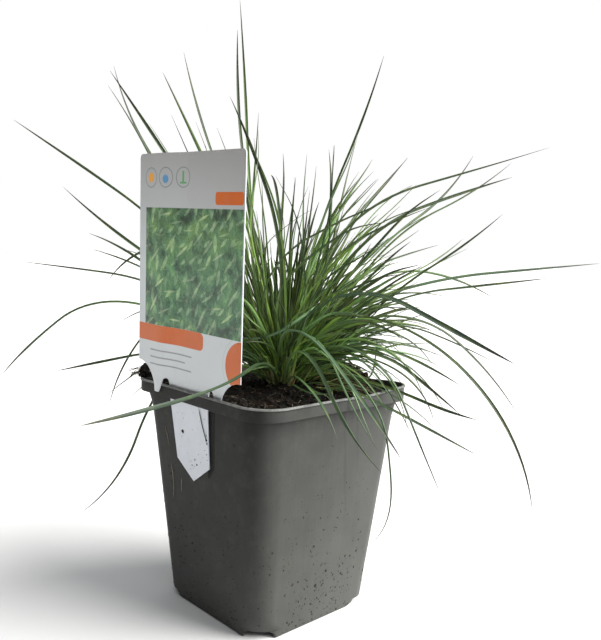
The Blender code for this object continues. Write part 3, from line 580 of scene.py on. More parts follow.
def label_material():
    """A generic print in the card's own coordinates: a panel of leaf shapes, an orange corner and three pictograms."""
    m = Nodes("printed_label_card")
    p = m.position()
    u = m.math("SUBTRACT", m.dot(p, tuple(LABEL_U)), float(LABEL_AT @ LABEL_U))
    v = m.math("SUBTRACT", m.dot(p, tuple(LABEL_V)), float(LABEL_AT @ LABEL_V))
    w = m.math("SUBTRACT", m.dot(p, tuple(LABEL_N)), float(LABEL_AT @ LABEL_N))

    def within(distance, soft=0.16):
        return m.math("MULTIPLY_ADD", distance, -1.0 / soft, 0.5, clamp=True)

    def rect(cx, cy, hx, hy, r=0.0):
        qx = m.math("SUBTRACT", m.math("ABSOLUTE", m.math("SUBTRACT", u, cx)), hx - r)
        qy = m.math("SUBTRACT", m.math("ABSOLUTE", m.math("SUBTRACT", v, cy)), hy - r)
        ox, oy = m.math("MAXIMUM", qx, 0.0), m.math("MAXIMUM", qy, 0.0)
        out = m.math("SQRT", m.math("ADD", m.math("MULTIPLY", ox, ox), m.math("MULTIPLY", oy, oy)))
        return m.math("SUBTRACT", m.math("ADD", out, m.math("MINIMUM", m.math("MAXIMUM", qx, qy), 0.0)), r)

    def disc(cx, cy, r):
        dx, dy = m.math("SUBTRACT", u, cx), m.math("SUBTRACT", v, cy)
        return m.math("SUBTRACT", m.math("SQRT", m.math("ADD", m.math("MULTIPLY", dx, dx), m.math("MULTIPLY", dy, dy))), r)

    # painted shade: the card's colour turns grey toward its top, for light that falls off upward
    card_top_shade = m.math("MULTIPLY_ADD", m.math("MULTIPLY_ADD", u, 0.2, v), 1 / 60.0, -52.0 / 60.0, clamp=True)
    card = m.mix(card_top_shade, m.mix(m.noise(p, 0.05, 2.0), (0.555, 0.585, 0.60), (0.60, 0.63, 0.645)), (0.330, 0.324, 0.317))
    # the panel: staggered leaf shapes on a ground that is darker at the foot
    ground = m.ramp(m.math("MULTIPLY_ADD", v, 1 / 56.0, -30.0 / 56.0, clamp=True),
                    ((0.0, (0.055, 0.175, 0.115)), (0.45, (0.085, 0.26, 0.15)), (0.8, (0.11, 0.25, 0.10)), (1.0, (0.03, 0.085, 0.05))))
    panel = ground
    for k, (turn, cu, cv, half, arc, tint, shade) in enumerate((
            (64.0, 5.2, 11.0, 1.5, 5.2, (0.045, 0.15, 0.095), 0.65),
            (24.0, 5.6, 10.0, 1.7, 5.0, (0.15, 0.38, 0.25), 0.55),
            (-31.0, 4.6, 8.6, 1.25, 4.2, (0.40, 0.66, 0.48), 0.60),
            (8.0, 3.9, 7.0, 0.95, 3.4, (0.10, 0.30, 0.14), 0.60),
            (-62.0, 6.2, 12.0, 0.8, 6.0, (0.52, 0.74, 0.54), 0.60))):
        a = math.radians(turn)
        ru = m.math("ADD", m.math("MULTIPLY", u, math.cos(a)), m.math("MULTIPLY_ADD", v, math.sin(a), 100.0 + 3.1 * k))
        rv = m.math("ADD", m.math("MULTIPLY", v, math.cos(a)), m.math("MULTIPLY_ADD", u, -math.sin(a), 200.0 + 5.3 * k))
        column = m.math("FLOOR", m.math("DIVIDE", ru, cu))
        lift = m.math("MULTIPLY", m.math("FRACT", m.math("MULTIPLY", column, 0.618)), cv)
        pu = m.math("SUBTRACT", m.math("MULTIPLY", m.math("FRACT", m.math("DIVIDE", ru, cu)), cu), cu / 2)
        row = m.math("DIVIDE", m.math("ADD", rv, lift), cv)
        pv = m.math("SUBTRACT", m.math("MULTIPLY", m.math("FRACT", row), cv), cv / 2)
        # every leaf has its own slant and size
        own = m.new("ShaderNodeTexWhiteNoise")
        m.link(m.combine(column, m.math("FLOOR", row), 9.0 + k), own.inputs["Vector"])
        slant = m.math("MULTIPLY_ADD", own.outputs["Value"], 1.1, -0.55)
        grow = m.math("MULTIPLY_ADD", own.outputs["Value"], -0.7, 1.75)
        sine, cosine = m.math("MULTIPLY", m.math("SINE", slant), grow), m.math("MULTIPLY", m.math("COSINE", slant), grow)
        qu = m.math("ADD", m.math("MULTIPLY", pu, cosine), m.math("MULTIPLY", pv, sine))
        qv = m.math("SUBTRACT", m.math("MULTIPLY", pv, cosine), m.math("MULTIPLY", pu, sine))
        pu, pv = qu, qv
        inset = (arc * arc - half * half) / (2 * half)
        away = m.math("ADD", m.math("ABSOLUTE", pu), inset)
        leaf = m.math("SUBTRACT", m.math("SQRT", m.math("ADD", m.math("MULTIPLY", away, away), m.math("MULTIPLY", pv, pv))),
                      inset + half)
        white = m.new("ShaderNodeTexWhiteNoise")
        m.link(m.combine(column, m.math("FLOOR", row), float(k)), white.inputs["Vector"])
        fade = m.math("MULTIPLY_ADD", white.outputs["Value"], 0.75, 0.25)
        rib = within(m.math("SUBTRACT", m.math("ABSOLUTE", pu), 0.10), 0.12)
        body = m.mix(m.math("MULTIPLY", rib, 0.45), tint, (0.48, 0.66, 0.46))
        panel = m.mix(m.math("MULTIPLY", m.math("MULTIPLY", within(leaf), shade + 0.3), fade), panel, body)
    grain = m.noise(p, 1.6, 3.0, 0.6)
    panel = m.mix(0.35, panel, m.ramp(grain, ((0.3, (0.02, 0.08, 0.05)), (0.7, (0.16, 0.36, 0.22)))))
    far = m.noise(p, 0.10, 4.0, 0.65)
    panel = m.mix(1.0, panel, m.ramp(far, ((0.36, (0.26, 0.25, 0.22)), (0.5, (0.84, 0.76, 0.62)), (0.64, (1.35, 1.12, 0.74)))), "MULTIPLY")
    design = m.mix(within(rect(2.2, 57.0, 32.4, 26.0)), card, panel)
    # orange band under the panel with a rounded end, and a quarter disc in the lower corner
    orange = m.mix(m.noise(p, 0.09, 2.0), (0.545, 0.098, 0.006), (0.60, 0.130, 0.014))
    design = m.mix(within(rect(-14.0, 27.2, 24.0, 3.8, 2.4)), design, orange)
    design = m.mix(within(disc(35.6, 20.4, 10.4)), design, orange)
    design = m.mix(within(m.math("ABSOLUTE", m.math("SUBTRACT", disc(35.6, 20.4, 12.2), 0.0)), 0.5), design, (0.16, 0.36, 0.16))
    design = m.mix(within(rect(25.5, 87.2, 9.0, 2.6, 1.3)), design, orange)
    # pictograms: sun, drop and growth bar
    design = m.mix(within(m.math("SUBTRACT", m.math("ABSOLUTE", disc(-26.5, 96.0, 4.2)), 0.22)), design, (0.20, 0.24, 0.22))
    design = m.mix(within(disc(-26.5, 96.0, 2.1)), design, (0.80, 0.36, 0.06))
    design = m.mix(within(m.math("SUBTRACT", m.math("ABSOLUTE", disc(-16.0, 96.0, 4.2)), 0.22)), design, (0.20, 0.24, 0.22))
    design = m.mix(within(disc(-16.0, 95.3, 1.8)), design, (0.10, 0.28, 0.48))
    design = m.mix(within(m.math("SUBTRACT", m.math("ABSOLUTE", disc(-5.5, 96.0, 4.2)), 0.22)), design, (0.20, 0.24, 0.22))
    design = m.mix(within(rect(-5.5, 96.0, 0.55, 2.6)), design, (0.12, 0.34, 0.14))
    design = m.mix(within(rect(-5.5, 93.7, 1.9, 0.4)), design, (0.12, 0.34, 0.14))
    for k in range(3):
        half = 14.0 - 2.4 * (k % 2)
        design = m.mix(m.math("MULTIPLY", within(rect(-26.0 + half, 19.6 - 3.2 * k, half, 0.32, 0.3)), 0.75), design, (0.16, 0.17, 0.18))
    # the print is on the outer face only; the tongue and the back are bare card
    facing = m.new("ShaderNodeNewGeometry").outputs["Normal"]
    face = m.math("GREATER_THAN", m.dot(facing, tuple(LABEL_N)), 0.3)
    bare = m.mix(m.noise(p, 0.3, 3.0), (0.570, 0.600, 0.655), (0.650, 0.680, 0.730))
    body = m.math("GREATER_THAN", v, 0.2)
    colour = m.mix(m.math("MULTIPLY", face, body), bare, design)
    smudge = m.math("MULTIPLY_ADD", m.noise(p, 0.11, 5.0, 0.7), 2.4, -1.35, clamp=True)
    colour = m.mix(m.math("MULTIPLY", smudge, 0.25), colour, (0.30, 0.27, 0.23))
    grime = m.math("MULTIPLY", m.math("LESS_THAN", m.cells(p, 0.55), 0.09), m.math("GREATER_THAN", m.noise(p, 0.3, 2.0), 0.60))
    colour = m.mix(m.math("MULTIPLY", grime, 0.6), colour, (0.10, 0.07, 0.045))
    rough = m.math("MULTIPLY_ADD", m.noise(p, 0.8, 3.0), 0.16, 0.28)
    return m.finish(colour, rough, m.bump(m.noise(p, 0.5, 2.0), 0.12, 0.0001), specular=0.5)


def floor_material():
    m = Nodes("pale_floor")
    n = m.noise(m.position((1.0, 1.0, 1.0)), 6.0, 3.0)
    return m.finish(m.mix(n, (0.71, 0.71, 0.71), (0.75, 0.75, 0.75)), 0.9, specular=0.1)


# ---------------------------------------------------------------- shoots
leaf_mat = leaf_material()
bundles = {}


def make_shoots():
    for index, row in enumerate(SHOOTS):
        length, e0, e1, e2, e3, b0, b1, b2, width, fills, blue = row
        rng = np.random.default_rng(1000 + index)
        bundle = bundles[index] = Bundle()
        root = spiral_root(index)
        line = leaf_line(root, length, (e0, e1, e2, e3), (b0, b1, b2), 64)
        blade(bundle, draw_in(resample(line, 40)), width * 1.18, b0, rng.uniform(0.1, 0.6), blue, 0.0,
              twist=rng.uniform(-2.5, 2.5), tip=rng.uniform(0.16, 0.26), turn=rng.uniform(-25, 25))
        mean_rise = (e0 + e1 + e2) / 3.0
        aside = math.cos(math.radians((b0 + b1) / 2.0 + 43.0))
        fuller = aside > 0.35 and mean_rise < 62
        for j in range(round(fills * (1.45 if fuller else 1.2))):
            for attempt in range(14):
                part = rng.choice((rng.uniform(0.24, 0.46), rng.uniform(0.42, 0.62), rng.uniform(0.6, 0.82)), p=(0.50, 0.36, 0.14) if fuller else (0.60, 0.30, 0.10))
                total = float(np.clip(length * part, 30, 118))
                at = min(total / length, 1.0)
                rises = np.interp(at * np.array((0, 1 / 3, 2 / 3, 1)), (0, 1 / 3, 2 / 3, 1), (e0, e1, e2, e3))
                if mean_rise < 45:
                    # the low shoots' finer leaves stand up more than their longest one
                    rises = 0.35 * rises + 0.65 * np.array((82, 66, 50, 34)) * (0.9 + 0.0 * rises)
                    total = min(total, 88.0)
                rises = np.clip(rises + rng.normal(0, 6) + rng.normal(0, 14) * np.array((0, 0.35, 0.8, 1.3)), -70, 88)
                bearings = np.interp(at * np.array((0, 0.5, 1)), (0, 0.5, 1), (b0, b1, b2))
                bearings = bearings + rng.normal(0, 16) + rng.normal(0, 20) * np.array((0, 0.5, 1))
                foot = np.array((*(FOOT + 0.46 * (root[:2] - CROWN) + rng.normal(0, 0.9, 2)), ROOT_Z))
                fine = sway(leaf_line(foot, total, rises, bearings, 40), 1.2, rng)
                if clear(fine):
                    break
            else:
                continue
            blade(bundle, resample(fine, 22), rng.uniform(0.8, 1.55), float(bearings[0]), rng.uniform(0, 1) ** 0.75,
                  float(np.clip(blue * 0.45 + rng.normal(0.02, 0.22), 0, 1)), 0.0,
                  twist=rng.uniform(-4, 4), tip=rng.uniform(0.16, 0.36), turn=rng.uniform(-75, 75))


def make_side_leaves():
    rng = np.random.default_rng(77)
    for shoot, length, e0, e1, e2, e3, b0, b1, b2, width, blue in SIDE_LEAVES:
        reach = 11.0 * max(math.cos(math.radians(e0)), 0.0)
        b = math.radians(b0)
        foot = np.array((CROWN[0] + reach * math.cos(b), CROWN[1] + reach * math.sin(b), ROOT_Z))
        line = leaf_line(foot, length, (e0, e1, e2, e3), (b0, b1, b2), 56)
        blade(bundles[shoot - 1], draw_in(resample(line, 28)), width, b0, rng.uniform(0.2, 0.8), blue, 0.0,
              twist=rng.uniform(-2.5, 2.5), tip=rng.uniform(0.25, 0.4), turn=rng.uniform(-40, 40))


# single leaves in front of the clump: shoot, width, tone, blueness, points in mm
FRONT_LEAVES = (
    (5, 1.15, 0.75, 0.9, ((7, -3, 104), (12, -5, 120), (15, -9, 133), (12, -16, 140), (6, -22, 141), (0, -25, 140), (-6, -25, 137), (-10, -23, 134), (-12, -20, 131),
                         (-14, -14, 128), (-15, -8, 126), (-16, -2, 125), (-17, 3, 125), (-19, 11, 126), (-22, 18, 128))),
    (7, 0.8, 0.8, 0.7, ((1, -8, 105), (-2, -9, 107.5), (-2, -11, 106.6), (-1, -14, 104.4), (-1, -22, 102.8), (-1, -27, 102.4), (3, -30, 102.1),
                        (7, -31, 102.1))),
    (8, 0.8, 0.9, 0.5, ((3, -7, 106), (2, -11, 108), (4, -12, 107), (5, -16, 105.2), (1, -25, 104), (-3, -31, 104.6), (-7, -37, 105.4), (-9, -44, 106),
                        (-10, -49, 104))),
    (12, 0.8, 0.8, 0.6, ((2, -6, 104), (-2, -9, 106), (-6, -11, 110), (-10, -11, 113), (-15, -9, 113), (-20, -7, 112), (-23, -6, 110), (-27, -3, 107))),
    (9, 1.45, 1.0, 0.0, ((1.0, -9.5, 102.0), (0.2, -12.8, 105.0), (0.8, -14.8, 107.5), (2.4, -17.6, 111.1), (4.9, -20.0, 115.3))),
    (15, 0.9, 0.6, 0.8, ((9, -20, 106), (14, -30, 112), (19, -37, 110.5), (22, -41, 107.5), (23.5, -42, 111), (24, -42, 119), (24, -42, 128))),
    (41, 1.05, 0.7, 0.8, ((3, -6, 104), (1, -12, 118), (0, -19, 129), (1, -28, 127), (1, -34, 122), (0.5, -40, 115), (0, -47, 106), (1, -55, 95),
                          (4, -63, 84))),
    (10, 1.5, 1.2, 0.0, ((0, -11, 103), (0, -14, 108), (2, -18, 112.5), (4, -22, 116), (7, -26, 120))),
    (25, 1.3, 1.15, 0.0, ((-1, -11, 103), (-2, -13, 108), (-2, -15, 113), (-1, -16, 118), (0, -17, 124))),
    (27, 1.2, 1.15, 0.0, ((-2, -9, 103), (-3, -11, 108), (-4, -10, 113), (-5, -9, 119))),
    (11, 1.1, 0.95, 0.0, ((-1.0, -9.0, 103.0), (-4.0, -10.5, 110.0), (-4.5, -12.0, 117.0), (-3.6, -13.0, 125.0), (-1.8, -13.6, 133.0))),
    (13, 1.0, 0.95, 0.1, ((2.0, -10.0, 103.0), (0.5, -12.5, 110.0), (1.6, -14.0, 118.0), (3.4, -15.5, 127.0), (6.0, -17.0, 137.0))),
    # leaves that cross the others
    (14, 1.25, 0.2, 0.5, ((-2, -7, 104), (-6, -4, 119), (-9, -1, 135), (-9, -2, 147), (-8, -4, 153), (-6, -6, 158), (-3, -9, 163), (1, -14, 169),
                          (7, -21, 174), (13, -27, 179), (24, -38, 186), (31, -45, 192), (34, -49, 195))),
    (16, 1.2, 0.25, 0.4, ((0, -6, 103), (-3, -4, 122), (-4, -4, 138), (-3, -6, 147), (0, -9, 154), (6, -16, 163), (13, -24, 171), (17, -28, 175),
                          (20, -32, 177), (28, -40, 179))),
    (17, 1.35, 0.3, 0.4, ((3, -7, 103), (6, -11, 124), (10, -15, 147), (12, -18, 157), (15, -21, 162), (20, -27, 168), (24, -32, 173), (30, -38, 177),
                          (36, -45, 182), (43, -52, 186))),
    (19, 1.1, 0.2, 0.4, ((1, -8, 104), (5, -12, 122), (7, -15, 141), (10, -19, 150), (13, -22, 155), (17, -27, 159), (21, -31, 162), (25, -36, 167),
                         (30, -41, 172))),
    (18, 0.7, 0.3, 0.4, ((0, -6, 103), (-5, -2, 128), (-9, 1, 149), (-9, 0, 165), (-8, -2, 169), (-4, -7, 174), (1, -12, 180), (5, -18, 184))),
    (20, 0.7, 0.4, 0.6, ((3, -6, 103), (6, -9, 124), (8, -12, 147), (6, -10, 170), (4, -8, 180), (2, -7, 186), (-1, -4, 192), (-4, -2, 198))),
    (22, 0.7, 0.35, 0.5, ((3, -3, 103), (1, -2, 128), (1, -2, 149), (2, -3, 167), (3, -5, 179), (3, -6, 186), (3, -7, 192), (3, -7, 198))),
    (23, 0.85, 0.25, 0.6, ((2, -6, 103), (1, -5, 128), (1, -6, 149), (2, -7, 165), (2, -8, 175), (4, -10, 183), (5, -11, 189), (6, -13, 194))),
    (24, 0.95, 0.25, 0.8, ((6, -3, 102), (12, -10, 128), (16, -14, 152), (18, -16, 170), (17, -16, 186), (17, -16, 197), (16, -16, 206), (15, -16, 211))),
    (26, 0.95, 0.15, 0.8, ((5, -5, 103), (10, -10, 128), (13, -12, 154), (16, -15, 173), (18, -16, 185), (18, -16, 195), (18, -16, 207), (18, -16, 213))),
    (28, 1.7, 0.45, 0.7, ((3, -7, 103), (6, -10, 126), (8, -12, 147), (9, -13, 166), (13, -16, 180), (16, -20, 193), (20, -23, 204), (22, -25, 212),
                          (23, -26, 220))),
    (29, 0.75, 0.4, 0.5, ((8, -3, 102), (14, -8, 128), (17, -11, 149), (21, -14, 162), (26, -18, 173), (34, -25, 188), (41, -31, 199), (46, -36, 209))),
    (31, 0.9, 0.5, 0.4, ((5, -6, 103), (10, -10, 128), (14, -13, 156), (18, -16, 173), (22, -18, 181), (28, -23, 188), (35, -29, 199))),
    (30, 1.0, 0.7, 0.2, ((0, -8, 104), (0, -9, 122), (-1, -8, 143), (-2, -8, 156), (-3, -7, 170), (-6, -5, 185), (-11, -1, 200), (-16, 4, 214))),
    (32, 0.9, 0.8, 0.1, ((3, -4, 103), (0, -2, 121), (-4, 2, 142), (-8, 5, 159), (-11, 7, 173), (-11, 6, 185), (-10, 5, 196), (-9, 4, 207), (-10, 4, 218))),
    # and arching ones over the pot's right side
    (34, 1.0, 0.75, 0.3, ((0, -9, 104), (3, -14, 116), (9, -22, 123), (15, -31, 127), (21, -39, 127), (27, -48, 122), (33, -56, 114), (36, -61, 102))),
    (36, 0.8, 0.7, 0.3, ((-1, -11, 104), (3, -18, 115), (9, -26, 120), (15, -35, 121), (20, -43, 117), (25, -51, 109), (28, -56, 97), (28, -59, 87))),
    (38, 0.8, 0.65, 0.4, ((-3, -13, 105), (0, -20, 114), (3, -28, 118), (8, -36, 117), (12, -45, 112), (16, -52, 103), (18, -59, 94))),
    (40, 1.1, 0.9, 0.7, ((-3, -14, 105), (-2, -20, 118), (-1, -25, 124), (1, -31, 122), (4, -38.5, 114.5), (5.5, -45.5, 107), (7, -50.5, 96), (9, -56, 85))),
)


def through(points, count):
    """A smooth line through the points."""
    p = np.array(points, float)
    t = np.concatenate(([0.0], np.cumsum(np.linalg.norm(np.diff(p, axis=0), axis=1))))
    fine = np.linspace(0, t[-1], 6 * len(p))
    q = np.stack([np.interp(fine, t, p[:, i]) for i in range(3)], axis=1)
    for _ in range(10):
        q[1:-1] = 0.5 * q[1:-1] + 0.25 * (q[:-2] + q[2:])
    return resample(q, count)


def make_front_leaves():
    for shoot, width, tone, blue, points in FRONT_LEAVES:
        line = through(points, 30)
        blade(bundles[shoot - 1], draw_in(line), width, 0.0, tone, blue, 0.0, tip=0.3, sheath=0.05, turn=37.0 * shoot)
    rng = np.random.default_rng(303)
    for k in range(190):
        a = rng.uniform(-230, 0)
        r = 6.0 * math.sqrt(rng.uniform(0.2, 1.0))
        foot = np.array((FOOT[0] + r * math.cos(math.radians(a)), FOOT[1] + r * math.sin(math.radians(a)), ROOT_Z + 2.0))
        lean = rng.uniform(4, 30)
        rises = np.array((88 - 0.5 * lean, 86 - lean, 84 - 1.4 * lean, 80 - 1.9 * lean))
        line = leaf_line(foot, rng.uniform(18, 50), rises, (a, a + rng.normal(0, 8), a + rng.normal(0, 14)), 24)
        blade(bundles[int(rng.integers(0, 30))], resample(line, 14), rng.uniform(0.7, 1.25), a, rng.choice((rng.uniform(0.95, 1.2), rng.uniform(0.1, 0.4))), 0.0,
              0.0, tip=0.6, turn=rng.uniform(-60, 60))


def make_low_leaves():
    """Short leaves that lean out low on the label's side, and finer arching ones on the right."""
    rng = np.random.default_rng(404)
    for count, low, high, rises, shortest, longest, thin, thick in (
            (46, 95, 205, (64, 46, 30, 14), 22, 42, 0.8, 1.4), (34, -85, -5, (58, 34, 4, -30), 45, 88, 0.55, 0.95),
            (26, -60, 20, (50, 38, 24, 10), 45, 85, 0.7, 1.2)):
        made = 0
        for attempt in range(count * 8):
            a = rng.uniform(low, high)
            r = 6.0 * math.sqrt(rng.uniform())
            foot = np.array((FOOT[0] + r * math.cos(math.radians(a)), FOOT[1] + r * math.sin(math.radians(a)), ROOT_Z + 1.0))
            tilt = np.array(rises) + rng.normal(0, 8) + rng.normal(0, 10) * np.array((0, 0.3, 0.8, 1.2))
            line = sway(leaf_line(foot, rng.uniform(shortest, longest), tilt, (a, a + rng.normal(0, 10), a + rng.normal(0, 18)), 32), 0.9, rng)
            if not clear(line):
                continue
            blade(bundles[int(rng.integers(0, 45))], resample(line, 18), rng.uniform(thin, thick), a, rng.uniform(0.1, 1.05), rng.uniform(0.1, 0.9),
                  0.0, tip=rng.uniform(0.2, 0.4), turn=rng.uniform(-60, 60))
            made += 1
            if made == count:
                break


make_shoots()
make_side_leaves()
make_front_leaves()
make_low_leaves()
for index, bundle in bundles.items():
    name = f"shoot_{index + 1:02d}"
    piece = bundle.make(f"leaves_of_{name}", leaf_mat, sharp=55)
    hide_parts(name)


# ---------------------------------------------------------------- crown
def make_crown():
    rng = np.random.default_rng(5)
    bundle = Bundle()
    for k in range(250):
        r = 7.8 * math.sqrt(rng.uniform())
        a = rng.uniform(0, 360)
        foot = np.array((FOOT[0] + r * math.cos(math.radians(a)), FOOT[1] + r * math.sin(math.radians(a)), ROOT_Z + 0.5))
        tilt = 87 - 30 * (r / 7.8) ** 1.4 + rng.normal(0, 5)
        dead = rng.uniform() < 0.22
        total = rng.uniform(7, 15) if dead else rng.uniform(13, 27)
        rises = np.clip(tilt + np.array((8, 2, -2, -6)) + rng.normal(0, 5, 4), 12, 89)
        bearings = a + rng.normal(0, 12) + np.array((0, 0.5, 1)) * rng.normal(0, 10)
        line = leaf_line(foot, total, rises, bearings, 12)
        blade(bundle, resample(line, 8), rng.uniform(1.1, 1.9), float(bearings[0]), rng.uniform(0, 1), 0.0,
              1.0 if dead else 0.0, twist=rng.uniform(-1, 1), sheath=0.45, tip=0.8, turn=rng.uniform(-90, 90))
    piece = bundle.make("crown_sheath_bases", sheath_material(), sharp=60)
    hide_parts("crown")


make_crown()


# ---------------------------------------------------------------- soil
def rounded(px, py, half_x, half_y, radius):
    """Pulls a point of a rectangle's outline ring onto the same ring with rounded corners."""
    m = max(abs(px) / half_x, abs(py) / half_y, 1e-9)
    qx, qy = px / m, py / m
    cx, cy = half_x - radius, half_y - radius
    if abs(qx) > cx and abs(qy) > cy:
        dx, dy = abs(qx) - cx, abs(qy) - cy
        d = math.hypot(dx, dy)
        qx = math.copysign(cx + radius * dx / d, qx)
        qy = math.copysign(cy + radius * dy / d, qy)
    return qx * m, qy * m


def make_soil():
    mat = soil_material()
    n = 132
    half_x, half_y, mid = 42.9, 43.8, 0.95
    grid = np.linspace(-1, 1, n)
    verts, index = [], {}
    for i, gy in enumerate(grid):
        for j, gx in enumerate(grid):
            x, y = rounded(gx * half_x, gy * half_y, half_x, half_y, 14.0 if gx < 0 and gy < 0 else 7.0)
            x += mid
            index[i, j] = len(verts)
            verts.append((x, y, soil_top(x, y)))
    faces = [(index[i, j], index[i, j + 1], index[i + 1, j + 1], index[i + 1, j])
             for i in range(n - 1) for j in range(n - 1)]
    ring = [(0, j) for j in range(n)] + [(i, n - 1) for i in range(1, n)] + \
           [(n - 1, j) for j in range(n - 2, -1, -1)] + [(i, 0) for i in range(n - 2, 0, -1)]
    last = [index[c] for c in ring]
    top = [verts[i] for i in last]
    for half, z, radius, near in ((None, 98.45, 0, 0), (41.2, 98.3, 8.0, 13.0), (33.3, 13.0, 8.5, 12.0), (30.8, 4.9, 13.0, 14.0)):
        loop = []
        for (i, j), (x, y, _) in zip(ring, top):
            loop.append(len(verts))
            if half:
                gx, gy = grid[j], grid[i]
                x, y = rounded(gx * half, gy * half, half, half, near if gx < 0 and gy < 0 else radius)
            verts.append((x, y, z))
        for k in range(len(ring)):
            a, b = k, (k + 1) % len(ring)
            faces.append((last[b], last[a], loop[a], loop[b]))
        last = loop
    faces.append(tuple(reversed(last)))
    bundle = Bundle()
    bundle.add(verts, faces, (0, 0, 0.5, 0, 0, 0))
    piece = bundle.make("loose_potting_soil", mat)
    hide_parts("potting_soil")


def lump(rng, size, detail=0):
    """A small irregular crumb about its own middle."""
    t = (1 + math.sqrt(5)) / 2
    pts = np.array([(-1, t, 0), (1, t, 0), (-1, -t, 0), (1, -t, 0), (0, -1, t), (0, 1, t), (0, -1, -t), (0, 1, -t),
                    (t, 0, -1), (t, 0, 1), (-t, 0, -1), (-t, 0, 1)], float)
    pts /= np.linalg.norm(pts[0])
    faces = [(0, 11, 5), (0, 5, 1), (0, 1, 7), (0, 7, 10), (0, 10, 11), (1, 5, 9), (5, 11, 4), (11, 10, 2), (10, 7, 6),
             (7, 1, 8), (3, 9, 4), (3, 4, 2), (3, 2, 6), (3, 6, 8), (3, 8, 9), (4, 9, 5), (2, 4, 11), (6, 2, 10),
             (8, 6, 7), (9, 8, 1)]
    if detail:
        pts = list(pts)
        cache, finer = {}, []

        def mid(a, b):
            key = (min(a, b), max(a, b))
            if key not in cache:
                q = pts[a] + pts[b]
                pts.append(q / np.linalg.norm(q))
                cache[key] = len(pts) - 1
            return cache[key]

        for a, b, c in faces:
            x, y, z = mid(a, b), mid(b, c), mid(c, a)
            finer += [(a, x, z), (b, y, x), (c, z, y), (x, y, z)]
        faces, pts = finer, np.array(pts)
    pts = pts * (1 + rng.uniform(-0.28, 0.28, (len(pts), 1)))
    pts = pts * size * rng.uniform(0.55, 1.25, 3)
    turn = np.array(Matrix.Rotation(rng.uniform(0, 6.3), 3, Vector(rng.normal(0, 1, 3)).normalized()))
    return pts @ turn.T, faces


def make_crumbs():
    rng = np.random.default_rng(11)
    bundle = Bundle()
    placed = 0
    while placed < 1500:
        x, y = rng.uniform(-41, 42.8), rng.uniform(-42.8, 42.8)
        heap = math.exp(-(((x - 37) / 15) ** 2 + ((y + 4) / 22) ** 2))
        if rng.uniform() > 0.55 + 0.6 * heap or math.hypot(x - CROWN[0], y - CROWN[1]) < 9:
            continue
        if abs(x) > 37 and abs(y) > 37 and math.hypot(abs(x) - 36.5, abs(y) - 36.5) > 6:
            continue
        if x < -28.5 and y < -30 and math.hypot(x + 28.5, y + 30.0) > 12.0:
            continue
        size = float(np.clip(rng.lognormal(-0.75, 0.5), 0.22, 1.6)) * (1 + 0.35 * heap)
        if 43.9 - max(abs(x), abs(y)) < size + 0.3:
            continue
        pts, faces = lump(rng, size, 1 if size > 0.85 else 0)
        z = soil_top(x, y) + size * rng.uniform(0.0, 0.45)
        red = float(np.clip(1.25 * heap + rng.normal(-0.12, 0.2), 0, 1))
        pale = rng.uniform(0.3, 0.8) if rng.uniform() < 0.05 and size < 0.5 else 0.0
        bundle.add(pts + (x, y, z), faces, (0, 0, rng.uniform(0, 1), red, pale, 0))
        placed += 1
    piece = bundle.make("soil_crumbs", crumb_material(), sharp=35)


def thread(bundle, line, radius, data, sides=4):
    d, side, up = frames(line, np.array((0.3, 0.2, 0.93)))
    n = len(line)
    taper = np.clip(np.minimum(np.linspace(0, 1, n), np.linspace(1, 0, n)) * 6, 0.25, 1)
    verts, faces = [], []
    for i in range(n):
        for j in range(sides):
            a = 2 * math.pi * j / sides
            verts.append(line[i] + radius * taper[i] * (math.cos(a) * side[i] + math.sin(a) * up[i]))
    for i in range(n - 1):
        for j in range(sides):
            k = (j + 1) % sides
            faces.append((i * sides + j, i * sides + k, (i + 1) * sides + k, (i + 1) * sides + j))
    faces.append(tuple(reversed(range(sides))))
    faces.append(tuple((n - 1) * sides + j for j in range(sides)))
    bundle.add(verts, faces, data)


def make_fibres():
    rng = np.random.default_rng(12)
    bundle = Bundle()
    made = 0
    while made < 420:
        x, y = rng.uniform(-39, 41), rng.uniform(-41, 41)
        total, a = rng.uniform(3, 10), rng.uniform(0, 6.3)
        bend = rng.normal(0, 0.14)
        pts = []
        for k in range(8):
            pts.append((x, y, soil_top(x, y) + 0.35 + rng.uniform(0, 0.35)))
            x += math.cos(a) * total / 8
            y += math.sin(a) * total / 8
            a += bend * 2 + rng.normal(0, 0.2)
        if max(abs(np.array(pts)[:, :2]).max(0)) > 42.2 or min(np.array(pts)[:, 0]) < -40.5:
            continue
        if min(x + y for x, y, z in pts) < -74:
            continue
        heap = math.exp(-(((x - 37) / 15) ** 2 + ((y + 4) / 22) ** 2))
        pale = rng.uniform() < 0.28
        thread(bundle, np.array(pts), rng.uniform(0.06, 0.12 if pale else 0.15),
               (0, 0, rng.uniform(0.3, 1), rng.uniform(0.1, 0.5) + 0.5 * heap, rng.uniform(0.3, 1.0) if pale else 0.0, 0))
        made += 1
    piece = bundle.make("soil_fibres", crumb_material())


def make_chip():
    rng = np.random.default_rng(4)
    bundle = Bundle()
    for cx, cy, dz, lx, ly, lz, turn in ((36.0, -7.6, 1.1, 4.8, 1.7, 0.75, -40.0), (39.5, -14.5, 0.6, 2.2, 1.0, 0.5, 15.0),
                                        (33.0, 2.5, 0.5, 2.6, 1.1, 0.5, 60.0)):
        pts, faces = lump(rng, 1.0, 1)
        pts = pts / np.abs(pts).max(0) * (lx, ly, lz)
        spin = np.array(Matrix.Rotation(math.radians(turn), 3, "Z") @ Matrix.Rotation(math.radians(-7), 3, "Y"))
        bundle.add(pts @ spin.T + (cx, cy, float(soil_level(cx, cy)) + dz), faces, (0, 0, 0.5, 0, 0, 0))
    piece = bundle.make("bark_chips", bark_material(), sharp=40)


